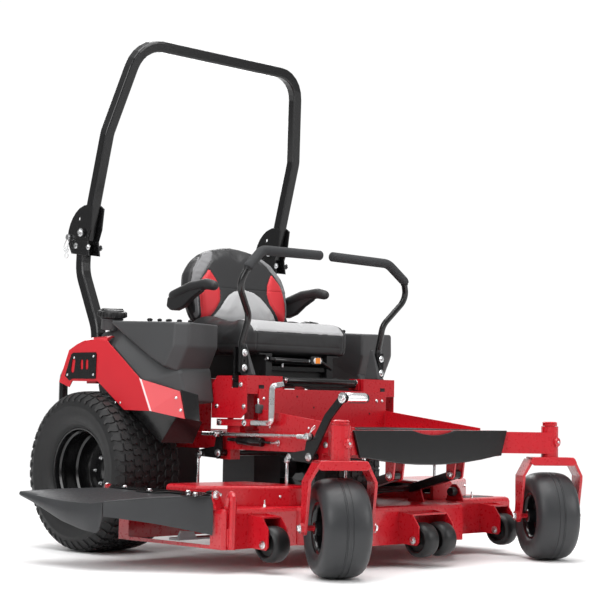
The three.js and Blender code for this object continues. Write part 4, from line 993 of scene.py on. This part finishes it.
# Painted shade: small dark domes on the bulkhead where it has holes.
for x, z in ((-150, 600), (-60, 560), (250, 540), (180, 600)):
    bolt("chassis", g_dome((x, -640.2, z), (0, -1, 0), 3.2), material=VOID)
knob = [(0, 0), (11, 0), (13, 3), (16, 26), (15, 30), (12, 32), (0, 32)]
piece("throttle_knob", g_turned(knob, (-352, -646, 536), (0.03, -0.05, 1), 28), TANK)
piece("throttle_stem", g_rod((-352, -644, 560), (-350, -640, 590), 3), ZINC)
mat = [g_box(-300, 300, y - 5, y + 5, 484, 487.5) for y in range(-1100, -660, 26)]
piece("floor_mat", g_join(g_box(-312, 312, -1112, -656, 484, 485.5), *mat), DARK_PLASTIC, edge=1.2)

# lever tube, tie rod ends, cranks and spring
for y in (-612, -476):
    bolt("chassis", g_bolt((-392.2, y, 500), (-1, 0, 0), 8))
for crank, y in (("pedal", -948), ("rear_crank", -470)):
    for s in (-1, 1):
        bolt(crank, g_bolt((s * 392.5, y, 386), (s, 0, 0), 9.5))
        bolt(crank, g_bolt((s * 392.5, y + 99, 384), (s, 0, 0), 7.5, stud=4))
    bolt("lift_rod", g_bolt((-409.5, y - 4, 457), (-1, 0, 0), 8, stud=6))
piece("rod_threads", g_join(*[g_lathe([(6.9, a), (8.2, a + 1), (6.9, a + 2)], (-401, 0, 457), "y", 24)
                              for a in range(-936, -900, 2)]), ZINC, "lift_rod")
spring = g_join(g_rod((-372, -690, 431), (-372, -560, 436), 17, sides=28, chamfer=3),
                g_rod((-372, -560, 436), (-372, -505, 438), 7), g_rod((-372, -735, 430), (-372, -690, 431), 5))
piece("assist_spring", spring, BLACK)
bolt("chassis", g_rod((-372, -775, 429), (-372, -730, 430), 4.5))
bolt("chassis", g_bolt((-372, -762, 429), (0, -1, 0), 8, washer=False))
pedal_roll = g_lathe([(0, -380), (17, -380), (18.2, -378), (18.2, -284), (16, -281), (0, -280)],
                     (0, -1110, 595), "x", 40)
piece("pedal_sleeve", pedal_roll, ROLLED, "pedal")
bolt("pedal", g_bolt((-394.5, -1110, 595), (-1, 0, 0), 12))
pin_loop = g_tube([(-392, -950, 466), (-392, -962, 486), (-380, -968, 500), (-372, -958, 490),
                   (-384, -946, 470)], 1.6, bend=6, sides=10)
piece("crank_hairpin", pin_loop, ZINC, "pedal")
for s in (-1, 1):
    for y in (-849, -371):
        link = g_join(g_rod((s * 401, y, 268), (s * 401, y, 372), 5.5, sides=16),
                      g_rod((s * 396, y, 372), (s * 406, y, 372), 11, sides=20))
        piece(f"lift_link_{SIDE[s]}_{abs(y)}", link, ZINC, "deck")
        bolt("deck", g_bolt((s * 404.2, y, 248), (s, 0, 0), 8, stud=3))
for s in (-1, 1):
    for t in (-1, 1):
        bolt("push_arms", g_bolt((s * 165 + t * 29, -1150, 325), (t, 0, 0), 9, stud=4))
    bolt("deck", g_bolt((s * 188.5, -945, 265), (s, 0, 0), 8, stud=4))

# ---------- deck details
for s in (-1, 1):
    bolt("deck", g_dome((s * 470, -888.5, 247), (s * 0.02, -1, 0), 6))
    bolt("deck", g_bolt((s * 660, -786, 255), (s * 0.5, -0.85, 0), 7, washer=False))
    zerk = g_join(g_rod((s * 560, -905, 214), (s * 560, -905, 226), 6, 4, 12), g_rod((s * 560, -905, 226),
                                                                              (s * 560, -905, 240), 3, 2, 10))
    bolt("deck", zerk)
    stud = g_lathe(both_ways([(0, -14), (15, -14), (17, -10)]), (s * 330, -1000, 250), "x", 30)
    piece(f"stop_stud_{SIDE[s]}", stud, DARK_PLASTIC, "deck")
    ear = g_plate([(-1040, 213), (-1018, 262), (-1002, 278), (-985, 278), (-970, 262), (-952, 213)], "x",
                  s * 350 - 3, s * 350 + 3, [circle(-994, 252, 7, 14)])
    piece(f"stop_ear_{SIDE[s]}", ear, RED, "deck", edge=1.2)
piece("deck_step_pad", g_box(470, 720, -888, -800, 215, 216.4), DARK_PLASTIC, "deck", edge=0.6)
weld_lines = [g_tube([(s * 430, -936, 86), (s * 430, -936, 200)], 2.4, bend=0, sides=10) for s in (-1, 1)]
piece("weld_beads", g_join(*weld_lines), RED, "deck")
for x, y in ((-500, -655), (0, -835), (500, -655)):
    for u, v in circle(x, y, 38, 4, 45):
        bolt("deck", g_bolt((u, v, 236), (0, 0, 1), 5.5))

# ---------- beam
for s in (-1, 1):
    gusset = g_sheet([(s * 420, -1178, 402), (s * 420, -1178, 478), (s * 440, -1190, 478),
                      (s * 474, -1214, 402)], (0, -3, 0))
    piece(f"beam_gusset_{SIDE[s]}", gusset, FENDER_RED, edge=1)
for x in (-340, 0, 340):
    bolt("chassis", g_bolt((x, -1165, 389), (0, 0, -1), 6))

# ---------- roll bar
LEG_X = 515
for s in (-1, 1):
    for t in (-1, 1):
        nut_end = 9 if t * s > 0 else 0
        bolt("chassis", g_bolt((s * LEG_X + t * 40.2, 190, 1240), (t, 0, 0), 11, stud=nut_end))
        for y, z in ((150, 1180), (232, 1190)):
            bolt("chassis", g_bolt((s * LEG_X + t * 30, y, z), (t, 0, 0), 7.5, stud=5))
    x_out = s * (LEG_X + 41)
    clip = g_tube([(x_out, 272, 1222), (x_out + s * 3, 286, 1205), (x_out + s * 3, 296, 1182),
                   (x_out + s * 2, 285, 1166), (x_out, 274, 1180), (x_out, 268, 1200), (x_out, 262, 1212)],
                  1.7, bend=9, sides=10)
    piece(f"hairpin_{SIDE[s]}", clip, ZINC, f"rops_pin_{SIDE[s]}")
    rings = g_join(*[g_tube([(x_out + s * 2, 276 + 11 * cos(a), 1176 - 24 * k + 11 * sin(a))
                             for a in np.linspace(0, 2 * pi, 25)], 1.3, bend=0, sides=8, side=(1, 0, 0))
                     for k in (0, 1)])
    piece(f"lanyard_rings_{SIDE[s]}", rings, ZINC, f"rops_pin_{SIDE[s]}")
    for y in (92, 128):
        bolt("chassis", g_bolt((s * (LEG_X + 10), y, 712.2), (0, 0, 1), 6.5))

# ---------- engine
fins = []
for s in (-1, 1):
    for k in range(9):
        d = 0.12 + k * 0.1
        a = Vector((s * 60, 360, 0)).lerp(Vector((s * 190, 490, 0)), d)
        b = Vector((s * 150, 300, 0)).lerp(Vector((s * 265, 410, 0)), d)
        run = (Vector((s * 190, 490, 0)) - Vector((s * 60, 360, 0))).normalized() * 3
        out = (a - b).normalized() * 7
        points = []
        for z in (474, 596):
            for q in (a + out, b - out):
                points += [(q + run * 0.5) + Vector((0, 0, z)), (q - run * 0.5) + Vector((0, 0, z))]
        fins.append(g_hull([tuple(v) for v in points]))
piece("cylinder_fins", g_join(*fins), CAST, edge=0.5)
screen_bars = []
for x in range(-117, 112, 12):
    reach = sqrt(120 ** 2 - x ** 2)
    screen_bars.append(g_box(x - 1, x + 1, 300 - reach, 300 + reach, 762, 767))
ring = g_lathe([(112, 762), (130, 762), (131, 766), (126, 769), (114, 769), (112, 766)], (0, 300, 0), "z", 60,
               closed=True)
piece("cooling_screen", g_join(ring, *screen_bars), DARK_PLASTIC, edge=0.4, planar=False)
bands = g_join(*[g_lathe([(73, a), (74.5, a + 1), (74.5, a + 9), (73, a + 10)], (0, 440, 800), "x", 48)
                 for a in (-120, 108)])
piece("air_cleaner_bands", bands, ZINC)
guard_mesh = g_join(*[g_rod((x, 470, 596), (x, 558, 596), 2.5, sides=10) for x in range(-150, 151, 25)],
                    *[g_rod((-155, y, 596), (155, y, 596), 3, sides=10) for y in (558, 470)])
piece("muffler_guard", guard_mesh, SATIN)
filter_can = [(0, 0), (34, 0), (37, 4), (37, 70), (33, 76), (0, 76)]
piece("oil_filter", g_turned(filter_can, (-150, 250, 520), (-1, -0.15, 0), 40), WHITE)

for (body_name, material), shapes in BOLTS.items():
    # Pieces in the painted hole shade are named holes_, the rest fasteners_.
    name = f"{'holes' if material is VOID else 'fasteners'}_{body_name}"
    piece(name, g_join(*shapes), material, body_name, angle=30)

# ---------- floor, light and camera
def sheet_floor():
    """A level sheet that curves up behind the object, square to the camera's view."""
    c, k = cos(radians(-44.6)), sin(radians(-44.6))
    rows = []
    for i in range(25):
        a = i / 24
        if a < 0.6:
            y, z = -9 + a / 0.6 * 15, 0.0
        else:
            b = (a - 0.6) / 0.4 * pi / 2
            y, z = 6 + 5 * sin(b), 5 * (1 - cos(b))
        rows.append([(x * c - y * k, x * k + y * c, z) for x in np.linspace(-14, 14, 13)])
    v, f = g_grid(rows)
    m = bpy.data.meshes.new("studio_floor")
    m.from_pydata([tuple(p) for p in v], [], f)
    for poly in m.polygons:
        poly.use_smooth = True
    o = bpy.data.objects.new("studio_floor", m)
    bpy.context.scene.collection.objects.link(o)
    return o


STAGE = surface("studio_white", (0.93, 0.93, 0.93), 0.8, grain=60, bump=0.02, mottle=0.01)
paper = STAGE.node_tree
spread = node(paper, "TexCoord").outputs["Object"]
reach = node(paper, "VectorMath", (0, spread), operation="LENGTH").outputs["Value"]
fade = node(paper, "MapRange", Value=reach, From_Min=1.8, From_Max=4.6, interpolation_type="SMOOTHSTEP")
glow = node(paper, "Emission", Strength=1.03).outputs[0]
matt = paper.nodes["Principled BSDF"].outputs[0]
both = node(paper, "MixShader", (0, fade.outputs[0]), (1, matt), (2, glow))
paper.links.new(both.outputs[0], paper.nodes["Material Output"].inputs["Surface"])
floor = sheet_floor()
floor.data.materials.append(STAGE)

world = bpy.data.worlds.new("studio")
bpy.context.scene.world = world
world.use_nodes = True
sky = world.node_tree
shown = sky.nodes["Background"]
shown.inputs["Color"].default_value = (1, 1, 1, 1)
shown.inputs["Strength"].default_value = 1.05
split = node(sky, "SeparateXYZ", (0, node(sky, "TexCoord").outputs["Generated"]))
height = node(sky, "ValToRGB", Fac=split.outputs["Z"])
low, high = height.color_ramp.elements
low.position, low.color = 0.0, (0.30, 0.30, 0.30, 1)
high.position, high.color = 0.75, (1, 1, 1, 1)
light = node(sky, "Background", Color=height.outputs["Color"], Strength=0.62).outputs[0]
seen = node(sky, "LightPath").outputs["Is Camera Ray"]
choose = node(sky, "MixShader", (0, seen), (1, light), (2, shown.outputs[0]))
sky.links.new(choose.outputs[0], sky.nodes["World Output"].inputs["Surface"])
bpy.context.scene.view_settings.view_transform = "Standard"


def lamp(name, at, target, size, watts):
    data = bpy.data.lights.new(name, "AREA")
    data.shape = "RECTANGLE"
    data.size = data.size_y = size
    data.energy = watts
    o = bpy.data.objects.new(name, data)
    bpy.context.scene.collection.objects.link(o)
    o.location = at
    o.rotation_mode = "QUATERNION"
    o.rotation_quaternion = (Vector(target) - Vector(at)).to_track_quat("-Z", "Y")


lamp("overhead", (-0.4, -0.6, 4.6), (0, 0, 0.5), 4.2, 240)
lamp("front_left", (-4.4, -1.4, 2.6), (0, 0, 0.6), 2.6, 95)
lamp("front_right", (2.2, -4.8, 2.4), (0, -0.4, 0.5), 2.2, 75)
lamp("rear_rim", (2.6, 3.6, 3.2), (0, 0.2, 1.0), 2.2, 80)

camera = bpy.data.objects.new("camera", bpy.data.cameras.new("camera"))
bpy.context.scene.collection.objects.link(camera)
bpy.context.scene.camera = camera
camera.data.lens = 96.5
azimuth, elevation, roll = radians(-44.575), radians(-3.812), radians(0.908)
back_way = Vector((sin(azimuth) * cos(elevation), -cos(azimuth) * cos(elevation),
                   sin(elevation)))
right = Vector((0, 0, 1)).cross(back_way).normalized()
up = back_way.cross(right)
rolled = (right * cos(roll) + up * sin(roll), up * cos(roll) - right * sin(roll), back_way)
turn = Matrix(rolled).transposed().to_4x4()
camera.matrix_world = Matrix.Translation(P(-4396.12, -4957.02, 560.39)) @ turn
camera.data.clip_start, camera.data.clip_end = 0.1, 60

bpy.context.view_layer.update()
